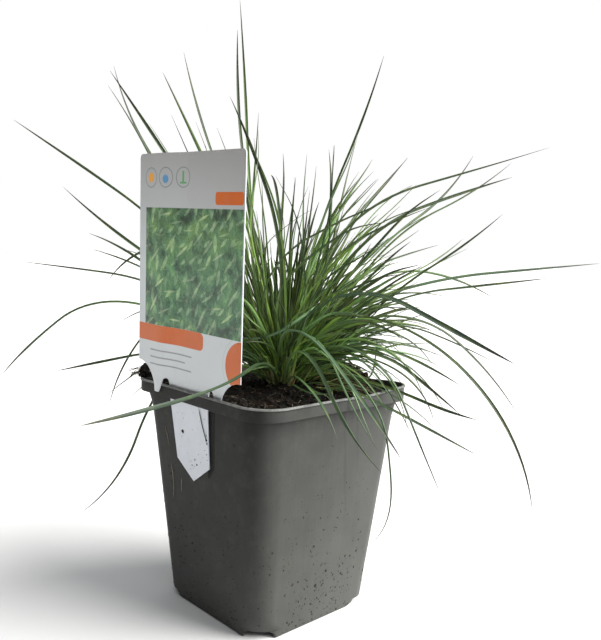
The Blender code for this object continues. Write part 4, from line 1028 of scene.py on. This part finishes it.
def make_clod():
    """A small dark clod with dry roots that hangs over the rim's far corner beside the label."""
    rng = np.random.default_rng(21)
    bundle = Bundle()
    for k in range(80):
        t = rng.uniform()
        size = rng.uniform(0.6, 1.3)
        pts, faces = lump(rng, size, 1 if size > 1.0 else 0)
        reach = 1.0 - 0.45 * t
        at = np.array((-42.2 + 2.6 * reach * rng.uniform(-1, 1), 42.2 + 2.6 * reach * rng.uniform(-1, 1), 103.9 + 5.4 * t))
        bundle.add(pts + at, faces, (0, 0, rng.uniform(0, 0.4), 0.0, 0, 0))
    for k in range(13):
        start = np.array((-42.5 + rng.uniform(-1.5, 1.5), 42.5 + rng.uniform(-1.5, 1.5), 105.0 + rng.uniform(-0.5, 3.0)))
        a = math.radians(rng.uniform(112, 178))
        out = np.array((math.cos(a), math.sin(a), 0.0))
        total, drop = rng.uniform(4.0, 9.0), rng.uniform(1.0, 4.5)
        pts = [start + out * total * t + np.array((0, 0, 1.0 * math.sin(2.4 * t) - drop * t * t)) + rng.normal(0, 0.14, 3) for t in np.linspace(0, 1, 9)]
        thread(bundle, np.array(pts), rng.uniform(0.13, 0.26), (0, 0, rng.uniform(0.4, 1.0), 0.6, 0, 0), 5)
    piece = bundle.make("rim_clod", crumb_material(), sharp=40)


make_soil()
make_crumbs()
make_fibres()
make_chip()
make_clod()


# ---------------------------------------------------------------- loose and fallen leaves on the soil
def make_fallen():
    rng = np.random.default_rng(31)
    bundle = Bundle()
    for k in range(40):
        a = math.radians(rng.uniform(-72, 20))
        r = rng.uniform(13, 22)
        x, y = CROWN[0] + r * math.cos(a), CROWN[1] + r * math.sin(a)
        heading = a + rng.normal(0, 0.35)
        bend = rng.normal(0, 0.5)
        total = rng.uniform(16, 34)
        pts = []
        for i in range(14):
            lift = 1.5 * math.sin(math.pi * i / 13) * rng.uniform(0.6, 1.0) + 0.7
            pts.append((x, y, float(soil_level(x, y)) + lift))
            x += math.cos(heading) * total / 14
            y += math.sin(heading) * total / 14
            heading += bend / 14
        pts = np.array(pts)
        if np.abs(pts[:, :2]).max() > 42.6:
            pts = pts[np.abs(pts[:, :2]).max(1) < 42.6]
            if len(pts) < 8:
                continue
        blade(bundle, pts, rng.uniform(0.45, 0.85), math.degrees(a), rng.uniform(0.1, 0.75), rng.uniform(0.6, 1.0),
              float(np.clip(rng.normal(0.2, 0.3), 0, 1)), twist=rng.uniform(-2, 2), sheath=0.0, tip=0.5,
              turn=rng.uniform(-40, 40))
    # short fresh blades low at the clump's near right side
    for k in range(9):
        a = rng.uniform(-85, -15)
        foot = np.array((FOOT[0] + 8 * math.cos(math.radians(a)), FOOT[1] + 8 * math.sin(math.radians(a)), ROOT_Z + 1.0))
        line = leaf_line(foot, rng.uniform(15, 24), np.array((62, 48, 36, 25)) + rng.normal(0, 6), (a, a, a + 8), 16)
        blade(bundle, resample(line, 12), rng.uniform(0.9, 1.4), a, rng.uniform(0.7, 1.0), 0.0, 0.1, tip=0.7)
    piece = bundle.make("low_and_fallen_leaves", leaf_mat, sharp=55)


make_fallen()


# ---------------------------------------------------------------- pot, label and the dirt on them
def smooth(a, b, x):
    t = min(max((x - a) / (b - a), 0.0), 1.0)
    return t * t * (3.0 - 2.0 * t)


def warped(x, y, z):
    """The thin pot isn't quite true: two of its rim's corners are pulled out a little and one stands up."""
    rim = smooth(90.0, 98.0, z)
    right = smooth(12.0, 44.0, x) * smooth(12.0, 44.0, -y)
    left = smooth(12.0, 44.0, -x) * smooth(12.0, 44.0, y)
    p = Vector((x, y, z))
    wave = 0.16 * noise.noise(p * 0.035) + 0.05 * noise.noise(p * 0.11 + Vector((7, 3, 1)))
    wave *= smooth(0.0, 12.0, z)
    r = math.hypot(x, y) or 1.0
    return (x + x / r * wave + rim * (0.95 * right - 1.15 * left), y + y / r * wave + rim * (-0.35 * right + 1.0 * left),
            z + 1.75 * right * smooth(96.0, 103.0, z) - 0.35 * smooth(-10.0, 20.0, x) * smooth(60.0, 40.0, x) * smooth(30.0, 44.0, -y) * rim)


# how far along a straight side, in parts of its half length, the wall has a line of points
STATIONS = (-0.97, -0.92, -0.8, -0.65, -0.5, -0.35, -0.2, -0.07, 0.07, 0.2, 0.35, 0.5, 0.65, 0.8, 0.92, 0.97)
ARC = 18


def pot_ring(half, radius, softer=0.0):
    """Points round a square with rounded corners, with the same number on every ring. One corner can be softer."""
    pts = []
    for quarter in range(4):
        c, s = ((1, 0), (0, 1), (-1, 0), (0, -1))[quarter]
        before = radius + (softer if quarter == 3 else 0.0)
        after = radius + (softer if quarter == 2 else 0.0)
        for t in STATIONS:
            x, y = half, t * (half - (before if t < 0 else after))
            pts.append((x * c - y * s, x * s + y * c))
        for k in range(ARC + 1):
            a = math.radians(90.0 * k / ARC)
            x, y = half - after + after * math.cos(a), half - after + after * math.sin(a)
            pts.append((x * c - y * s, x * s + y * c))
    return pts


def tucked(z):
    """How much rounder than at the rim the corner nearest the label's side is near the foot."""
    return 6.9 * max(0.0, min(1.0, 1.0 - (z - 3.0) / 9.0)) ** 3


def onto(x, y, half, radius):
    """Moves a point of the pot's outline toward the middle till it lies on a square with rounded corners."""
    low, high = 0.5, 1.1
    for _ in range(24):
        f = (low + high) / 2.0
        dx, dy = abs(x) * f - (half - radius), abs(y) * f - (half - radius)
        past = math.hypot(max(dx, 0.0), max(dy, 0.0)) + min(max(dx, dy), 0.0) - radius
        low, high = (low, f) if past > 0 else (f, high)
    return x * low, y * low


def make_pot():
    """The pot's shell as rings from the skirt's inner side out, up, over the lip and down inside to the floor."""
    height, band = POT_HEIGHT, 5.8
    slope = (WALL_TOP_HALF - BASE_HALF) / (POT_HEIGHT - BAND_HEIGHT)
    foot = height - band
    wall, gap_in, ledge = 0.9, 44.3, 0.9
    # each row: half width, corner radius, height, the pale lip's amount (rubbed wear and painted highlight) and the
    # amount of painted shade
    rows = [(BASE_HALF + slope * 3.0 - wall, 8.1, 3.0, 0, 0), (BASE_HALF + slope * 0.5 - wall, 8.1, 0.0, 0, 0),
            (BASE_HALF - 0.35, 8.7, 0.0, 0, 0), (BASE_HALF, 9.0, 0.35, 0, 0)]
    for z in (1.1, 2.0, 2.9, 3.4):
        rows.append((BASE_HALF + slope * z, 9.0, z, 0, 0))
    for k in range(1, 27):
        z = 0.35 + (foot - 0.35) * (k / 26.0)
        if 1 < k < 4:
            rows.append((BASE_HALF + slope * (z - 1.9), 9.0, z - 1.9, 0, 0))
        if k == 26:
            rows.append((BASE_HALF + slope * z - 0.03, 9.0, z - 0.25, 0, 0.5))
        rows.append((BASE_HALF + slope * z, 9.0, z, 0, 0.62 if k == 26 else 0.5 * smooth(foot - 11.0, foot - 1.0, z) ** 1.5))
    rows.append((gap_in, 8.0, foot, 0, 0.4))                                        # the slot's outer edge, underside
    rows += [(44.75, 7.8, foot, 0, 0.5), (44.95, 8.0, foot + 0.12, 0, 0.2), (45.0, 8.0, foot + 0.4, 0, 0), (45.0, 8.0, foot + 2.2, 0, 0),
             (45.0, 8.0, height - 1.6, 0, 0), (45.0, 8.0, height - 1.15, 0, 1.0), (45.28, 8.2, height - 1.0, 0.3, 0.6),
             (45.42, 8.3, height - 0.7, 1.0, 0), (45.36, 8.3, height - 0.35, 1.0, 0), (45.1, 8.1, height - 0.08, 1.0, 0),
             (44.8, 7.9, height, 1.0, 0), (44.5, 7.7, height - 0.05, 1.0, 0), (gap_in, 7.3, height - 0.3, 0.6, 0),
             (gap_in, 7.3, height - 2.0, 0, 0.2), (gap_in, 7.3, foot + ledge, 0, 0.6)]
    outer_top = len(rows) - 1
    rows += [(WALL_TOP_HALF, 8.6, foot + ledge, 0, 0.6), (WALL_TOP_HALF + slope * ledge - wall, 8.1, foot + ledge, 0, 0.3),
             (BASE_HALF + slope * 4.2 - wall, 8.1, 4.2, 0, 0.5), (BASE_HALF + slope * 3.0 - wall - 0.02, 8.05, 3.3, 0, 0.5)]
    slot_out = next(i for i, r in enumerate(rows) if r[0] == gap_in)
    slot_in = slot_out - 1
    n = len(pot_ring(45.0, 8.0))
    verts, data = [], []
    for half, radius, z, lip, painted_shade in rows:
        # the corner nearest the label's side is the softest, and draws in above the notch between its feet
        softer = 6.5 if z > foot + 0.05 or half > 43.5 else 3.6 * z / foot + tucked(z)
        if z < 2.95:
            softer = tucked(3.0) * z / 3.0
        for x, y in pot_ring(half, radius, softer):
            zz = z
            if z < 2.95:
                # the feet end in a steep slope at each corner, and between them the wall is drawn in
                inside = 0.0 if half > BASE_HALF - 0.5 else 0.55
                near, right = x < 0 and y < 0, x > 0 and y < 0
                start = 40.85 if near else 39.6 if right else 40.3
                t = min(max(((abs(x) + abs(y)) / math.sqrt(2) - start + inside) / (0.75 if near else 1.6), 0.0), 1.0)
                qx, qy = onto(x, y, half, radius + (tucked(3.0) if near else 0.0))
                x, y = x + (qx - x) * t, y + (qy - y) * t
                zz = max(z, (2.8 if near else 2.9) * t)
            verts.append(warped(x, y, zz))
            data.append((0, 0, lip, painted_shade, 0, 0))
    faces = []
    span = [j for j in range(n) if verts[slot_out * n + j][0] < -40 and abs(verts[slot_out * n + j][1]) < 22.5]
    inside = set(j for j in span if (j + 1) % n in span)
    for i in range(len(rows)):
        k = (i + 1) % len(rows)
        for j in range(n):
            e = (j + 1) % n
            if j in inside and i in (slot_in, outer_top):
                continue
            faces.append((i * n + j, i * n + e, k * n + e, k * n + j))
    # the slot's sides and ends
    a_out, a_in, b_out, b_in = slot_out * n, slot_in * n, outer_top * n, (outer_top + 1) * n
    for j in inside:
        e = (j + 1) % n
        faces.append((a_in + j, a_in + e, b_in + e, b_in + j))
        faces.append((a_out + e, a_out + j, b_out + j, b_out + e))
    first, last = min(inside), max(inside) + 1
    faces.append((a_in + first, b_in + first, b_out + first, a_out + first))
    faces.append((a_out + last, b_out + last, b_in + last, a_in + last))
    bundle = Bundle()
    bundle.add(verts, faces, data)
    # the raised floor: a plate with four drain holes, and the low boss under its middle
    curve = bpy.data.curves.new("floor_plate", "CURVE")
    curve.dimensions, curve.fill_mode, curve.extrude = "2D", "BOTH", 0.6 * MM
    edge = BASE_HALF + slope * 3.6 - wall + 0.2
    # each side bows out by a few hundredths, so that no three points of the outline lie on a line
    loops = [[(x * (1.0 + 0.0012 * (1 - (y / edge) ** 2)), y * (1.0 + 0.0012 * (1 - (x / edge) ** 2))) for x, y in pot_ring(edge, 8.6, 5.8)]]
    for sx, sy in ((1, 1), (-1, 1), (-1, -1), (1, -1)):
        loops.append([(19.0 * sx + 3.0 * math.cos(math.radians(a)), 19.0 * sy + 3.0 * math.sin(math.radians(a))) for a in range(0, 360, 15)])
    for loop in loops:
        spline = curve.splines.new("POLY")
        spline.points.add(len(loop) - 1)
        for pt, (x, y) in zip(spline.points, loop):
            pt.co = (x * MM, y * MM, 3.6 * MM, 1.0)
        spline.use_cyclic_u = True
    guide = bpy.data.objects.new("floor_plate", curve)
    bpy.context.scene.collection.objects.link(guide)
    bpy.context.view_layer.update()
    plate = bpy.data.meshes.new_from_object(guide.evaluated_get(bpy.context.evaluated_depsgraph_get()))
    bpy.data.objects.remove(guide, do_unlink=True)
    tidy = bmesh.new()
    tidy.from_mesh(plate)
    bmesh.ops.remove_doubles(tidy, verts=tidy.verts, dist=0.000001)
    bmesh.ops.recalc_face_normals(tidy, faces=tidy.faces)
    # the plate and the boss below carry a little painted shade in the "blue" attribute
    bundle.add([tuple(v.co / MM) for v in tidy.verts], [tuple(v.index for v in f.verts) for f in tidy.faces], (0, 0, 0, 0.2, 0, 0))
    tidy.free()
    bpy.data.meshes.remove(plate)
    ring = [(9.0 * math.cos(math.radians(a)), 9.0 * math.sin(math.radians(a))) for a in range(0, 360, 10)]
    boss = [(x, y, 3.2) for x, y in ring] + [(x, y, 0.3) for x, y in ring] + [(x * 0.96, y * 0.96, 0.0) for x, y in ring]
    m = len(ring)
    sides = [(r * m + (j + 1) % m, r * m + j, (r + 1) * m + j, (r + 1) * m + (j + 1) % m) for r in (0, 1) for j in range(m)]
    bundle.add(boss, sides + [tuple(range(m)), tuple(reversed(range(2 * m, 3 * m)))], (0, 0, 0, 0.2, 0, 0))
    piece = bundle.make("pot_shell", pot_material(), sharp=32)
    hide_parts("pot")


make_pot()
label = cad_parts["plant_label"]
label_mat = label_material()
for s in label.material_slots:
    s.material = label_mat


def wall_point(side, across, z):
    """A point on an outer wall and the wall's outward direction. Sides 0 to 3 face -X, -Y, +X, +Y."""
    slope = (WALL_TOP_HALF - BASE_HALF) / (POT_HEIGHT - BAND_HEIGHT)
    half = BASE_HALF + slope * z
    out = np.array((1.0, 0.0, -slope))
    out /= np.linalg.norm(out)
    c, s = ((-1, 0), (0, -1), (1, 0), (0, 1))[side]
    turn = np.array(((c, -s, 0), (s, c, 0), (0, 0, 1.0)))
    return turn @ np.array((half, across, z)), turn @ out


def make_specks():
    rng = np.random.default_rng(8)
    bundle = Bundle()
    for k in range(1800):
        side = int(rng.integers(0, 4))
        z = float(np.clip(rng.beta(1.0, 2.6) * 97, 1.5, 94.0))
        slope = (WALL_TOP_HALF - BASE_HALF) / (POT_HEIGHT - BAND_HEIGHT)
        reach = BASE_HALF + slope * z - 13.2
        across = rng.uniform(-reach, reach)
        if z < 4 and abs(across) > 21:
            continue
        size = float(np.clip(rng.lognormal(-1.42, 0.55), 0.10, 0.85))
        centre, out = wall_point(side, across, z)
        if rng.uniform() < 0.16:
            # on a rounded corner
            round_off = 9.0 + (tucked(z) + 3.6 * z / 97.7 if side == 0 else 0.0)
            a, c = math.radians(rng.uniform(180, 270) + 90.0 * side), BASE_HALF + slope * z - round_off
            way = (-1, 1, 1, -1)[side], (-1, -1, 1, 1)[side]
            if z < 4:
                continue
            centre = np.array((way[0] * c + round_off * math.cos(a), way[1] * c + round_off * math.sin(a), z))
            out = np.array((math.cos(a), math.sin(a), -slope))
            out /= np.linalg.norm(out)
        if side == 0 and z > 58 and abs(centre[1] - 4.2) < 14:
            continue
        tangent = np.cross(out, (0, 0, 1.0))
        tangent /= np.linalg.norm(tangent)
        up = np.cross(tangent, out)
        n = 7
        turn, stretch = rng.uniform(0, 6.3), rng.uniform(0.45, 1.0)
        rim, crest = [], []
        for j in range(n):
            a = 2 * math.pi * j / n
            r = size * rng.uniform(0.7, 1.2)
            x, y = r * math.cos(a), r * math.sin(a) * stretch
            x, y = x * math.cos(turn) - y * math.sin(turn), x * math.sin(turn) + y * math.cos(turn)
            rim.append(centre + tangent * x + up * y - out * 0.05)
            crest.append(centre + (tangent * x + up * y) * 0.6 + out * min(0.16, size * 0.4))
        verts = rim + crest
        faces = [(j, (j + 1) % n, n + (j + 1) % n, n + j) for j in range(n)]
        faces += [tuple(n + j for j in range(n)), tuple(reversed(range(n)))]
        bundle.add(verts, faces, (0, 0, rng.uniform(0, 1), 0, 0, 0))
    # crumbs on the label's tongue and lower card, and two fine hairs on the wall beside it
    lean, roll = math.radians(-5.0), math.radians(-0.7)
    across, upward = np.array((0.0, -1.0, 0.0)), np.array((math.sin(lean), 0.0, math.cos(lean)))
    tongue_u = across * math.cos(roll) - upward * math.sin(roll)
    tongue_v = upward * math.cos(roll) + across * math.sin(roll)
    tongue_n = np.cross(tongue_u, tongue_v)
    for u, v, size in ((-5.6, -14.6, 0.95), (-5.0, -6.2, 0.3), (2.6, -26.0, 0.45), (0.2, -29.0, 0.5), (1.6, -29.4, 0.42), (3.9, -28.0, 0.62),
                       (8.8, -23.6, 0.22), (-1.0, -31.0, 0.25), (11.3, -6.0, 0.25), (10.4, -20.0, 0.22), (27.5, 6.6, 0.3), (-29.0, 12.4, 0.35),
                       (33.2, 30.0, 0.3), (6.0, -11.0, 0.16), (-8.0, -22.0, 0.18), (-2.0, -19.0, 0.14), (-4.4, -8.4, 0.2), (-9.5, -6.6, 0.2),
                       (-8.6, -6.9, 0.16), (7.2, -18.0, 0.2), (2.0, -12.4, 0.16), (-6.5, -17.4, 0.18), (5.4, -23.0, 0.2), (0.8, -30.6, 0.34),
                       (6.8, -26.2, 0.24), (-0.6, -27.4, 0.2), (8.1, -7.4, 0.2), (3.4, -4.6, 0.16), (9.6, -13.4, 0.2), (-3.0, -24.0, 0.16)):
        pts, faces = lump(rng, size)
        pts[:, 0] *= 0.4
        a, b, c = (tongue_u, tongue_v, tongue_n) if v < 0 else (LABEL_U, LABEL_V, LABEL_N)
        bundle.add(pts + LABEL_AT + a * u + b * v + c * 0.22, faces, (0, 0, 0.3, 0, 0, 0))
    # a stalk of bark along the tongue's near edge, with crumbs that hang on it
    stalk = [(8.0, -1.2, 0.5), (9.0, -4.5, 0.6), (9.6, -8.0, 0.45), (10.9, -11.5, 0.55), (12.2, -14.5, 0.6), (12.4, -17.0, 0.5)]
    thread(bundle, through([LABEL_AT + tongue_u * u + tongue_v * v + tongue_n * d for u, v, d in stalk], 22), 0.20, (0, 0, 0.9, 0, 0, 0), 6)
    for u, v, size in ((12.2, -15.0, 0.5), (12.5, -16.6, 0.42), (12.3, -13.0, 0.3), (11.8, -21.5, 0.34), (12.0, -24.0, 0.26)):
        pts, faces = lump(rng, size)
        pts[:, 0] *= 0.6
        bundle.add(pts + LABEL_AT + tongue_u * u + tongue_v * v + tongue_n * 0.4, faces, (0, 0, 0.35, 0, 0, 0))
    for line, thick in ((((23.0, 66.5), (22.4, 61.0), (22.0, 55.0), (23.2, 49.0)), 0.13), (((15.2, 61.0), (15.8, 57.0), (16.2, 54.0)), 0.11),
                        (((26.5, 83.0), (25.0, 79.0), (23.8, 74.0)), 0.09)):
        pts = []
        for y, z in line:
            c, out = wall_point(0, -y, z)
            pts.append(c + out * 0.22)
        thread(bundle, through(pts, 18), thick, (0, 0, 0, 1.0, 0, 0), 5)
    piece = bundle.make("dirt_specks", speck_material(), sharp=35)


make_specks()


def tongue_shadow_material():
    m = Nodes("tongue_shadow_paint")
    p = m.position()
    n = m.noise(p, 0.9, 4.0, 0.7)
    # the sheet's near-black colour is a painted shadow of the label's tongue
    dark = m.ramp(n, ((0.3, (0.0022, 0.0022, 0.0020)), (0.8, (0.0060, 0.0056, 0.0048))))
    thin = m.math("MULTIPLY_ADD", n, 0.5, m.math("MULTIPLY_ADD", m.attr("tone"), 1.3, -0.42), clamp=True)
    return m.finish(m.mix(thin, dark, (0.026, 0.027, 0.026)), m.math("MULTIPLY_ADD", n, 0.2, 0.62), m.bump(n, 0.3, 0.0001), specular=0.07)


def make_tongue_shadow():
    """A dark sheet on the wall along the tongue's near edge: the tongue's shadow, painted."""
    rng = np.random.default_rng(31)
    rows, columns = 30, 7
    verts, data = [], []
    edge = rng.normal(0, 0.14, rows)
    for i in range(rows):
        z = 66.5 + 29.8 * i / (rows - 1)
        end = smooth(66.5, 72.0, z)
        for j in range(columns):
            t = j / (columns - 1)
            y = -(0.08 * z - 0.1) - t * (1.6 + 2.7 * end + edge[i])
            c, out = wall_point(0, -y, z)
            verts.append(c + out * (0.26 - 0.12 * t))
            data.append((0, 0, max(t ** 1.6, 1.0 - end), 0, 0, 0))
    count = len(verts)
    for k in range(count):
        c, out = verts[k], np.array((-1.0, 0.0, -0.09))
        verts.append(c - out * 0.5)
        data.append(data[k])
    faces = []
    for i in range(rows - 1):
        for j in range(columns - 1):
            a, b, c, d = i * columns + j, i * columns + j + 1, (i + 1) * columns + j + 1, (i + 1) * columns + j
            faces += [(a, b, c, d), (count + a, count + d, count + c, count + b)]
    border = [j for j in range(columns)] + [i * columns + columns - 1 for i in range(1, rows)] + \
             [(rows - 1) * columns + j for j in range(columns - 2, -1, -1)] + [i * columns for i in range(rows - 2, 0, -1)]
    for k, a in enumerate(border):
        b = border[(k + 1) % len(border)]
        faces.append((b, a, count + a, count + b))
    bundle = Bundle()
    bundle.add(verts, faces, data)
    piece = bundle.make("tongue_shadow_sheet", tongue_shadow_material(), sharp=60)


make_tongue_shadow()

# ---------------------------------------------------------------- floor, light and camera
floor = bpy.data.objects.new("floor", bpy.data.meshes.new("floor"))
floor.data.from_pydata([(-6, -6, 0), (6, -6, 0), (6, 6, 0), (-6, 6, 0)], [], [(0, 1, 2, 3)])
floor.data.materials.append(floor_material())
bpy.context.scene.collection.objects.link(floor)

world = bpy.data.worlds.new("studio")
bpy.context.scene.world = world
world.use_nodes = True
tree = world.node_tree
background = tree.nodes["Background"]
background.inputs["Color"].default_value = (0.97, 0.985, 1.0, 1.0)
where = tree.nodes.new("ShaderNodeTexCoord")
toward = tree.nodes.new("ShaderNodeVectorMath")
toward.operation = "DOT_PRODUCT"
tree.links.new(where.outputs["Generated"], toward.inputs[0])
toward.inputs[1].default_value = (0.72, -0.62, 0.30)
level = tree.nodes.new("ShaderNodeMapRange")
tree.links.new(toward.outputs["Value"], level.inputs["Value"])
for socket, value in zip(("From Min", "From Max", "To Min", "To Max"), (-0.6, 1.0, 0.03, 0.42)):
    level.inputs[socket].default_value = value
above = tree.nodes.new("ShaderNodeVectorMath")
above.operation = "DOT_PRODUCT"
tree.links.new(where.outputs["Generated"], above.inputs[0])
above.inputs[1].default_value = (0.0, 0.0, 1.0)
overhead = tree.nodes.new("ShaderNodeMapRange")
tree.links.new(above.outputs["Value"], overhead.inputs["Value"])
for socket, value in zip(("From Min", "From Max", "To Min", "To Max"), (0.3, 1.0, 0.0, 0.7)):
    overhead.inputs[socket].default_value = value
both = tree.nodes.new("ShaderNodeMath")
tree.links.new(level.outputs["Result"], both.inputs[0])
tree.links.new(overhead.outputs["Result"], both.inputs[1])
tree.links.new(both.outputs["Value"], background.inputs["Strength"])
white = tree.nodes.new("ShaderNodeBackground")
white.inputs["Color"].default_value = (1.0, 1.0, 1.0, 1.0)
white.inputs["Strength"].default_value = 1.0
path = tree.nodes.new("ShaderNodeLightPath")
blend = tree.nodes.new("ShaderNodeMixShader")
tree.links.new(path.outputs["Is Camera Ray"], blend.inputs["Fac"])
tree.links.new(background.outputs[0], blend.inputs[1])
tree.links.new(white.outputs[0], blend.inputs[2])
tree.links.new(blend.outputs[0], tree.nodes["World Output"].inputs["Surface"])


sun_data = bpy.data.lights.new("key", "SUN")
sun_data.energy = 7.7
sun_data.angle = math.radians(52)
sun_data.color = (1.0, 0.985, 0.96)
sun = bpy.data.objects.new("key", sun_data)
b, e = math.radians(-50), math.radians(36)
sun.rotation_euler = (-Vector((math.cos(e) * math.cos(b), math.cos(e) * math.sin(b), math.sin(e)))).to_track_quat("-Z", "Y").to_euler()
bpy.context.scene.collection.objects.link(sun)

camera_data = bpy.data.cameras.new("camera")
camera_data.sensor_fit = "HORIZONTAL"
camera_data.sensor_width = 36.0
camera_data.lens = 750.007 / 601.0 * 36.0
camera_data.clip_start = 0.01
camera = bpy.data.objects.new("camera", camera_data)
right, up, back = Vector((0.72970, -0.68286, 0.03514)), Vector((0.04706, 0.10142, 0.99373)), Vector((-0.68214, -0.72347, 0.10614))
turn = Matrix((right, up, back)).transposed().to_4x4()
camera.matrix_world = Matrix.Translation(Vector((-228.727, -259.837, 169.927)) * MM) @ turn
bpy.context.scene.collection.objects.link(camera)
bpy.context.scene.camera = camera

view = bpy.context.scene.view_settings
view.view_transform = "Standard"
view.look = "None"
view.exposure = 0.0
view.gamma = 1.0

bpy.context.view_layer.update()
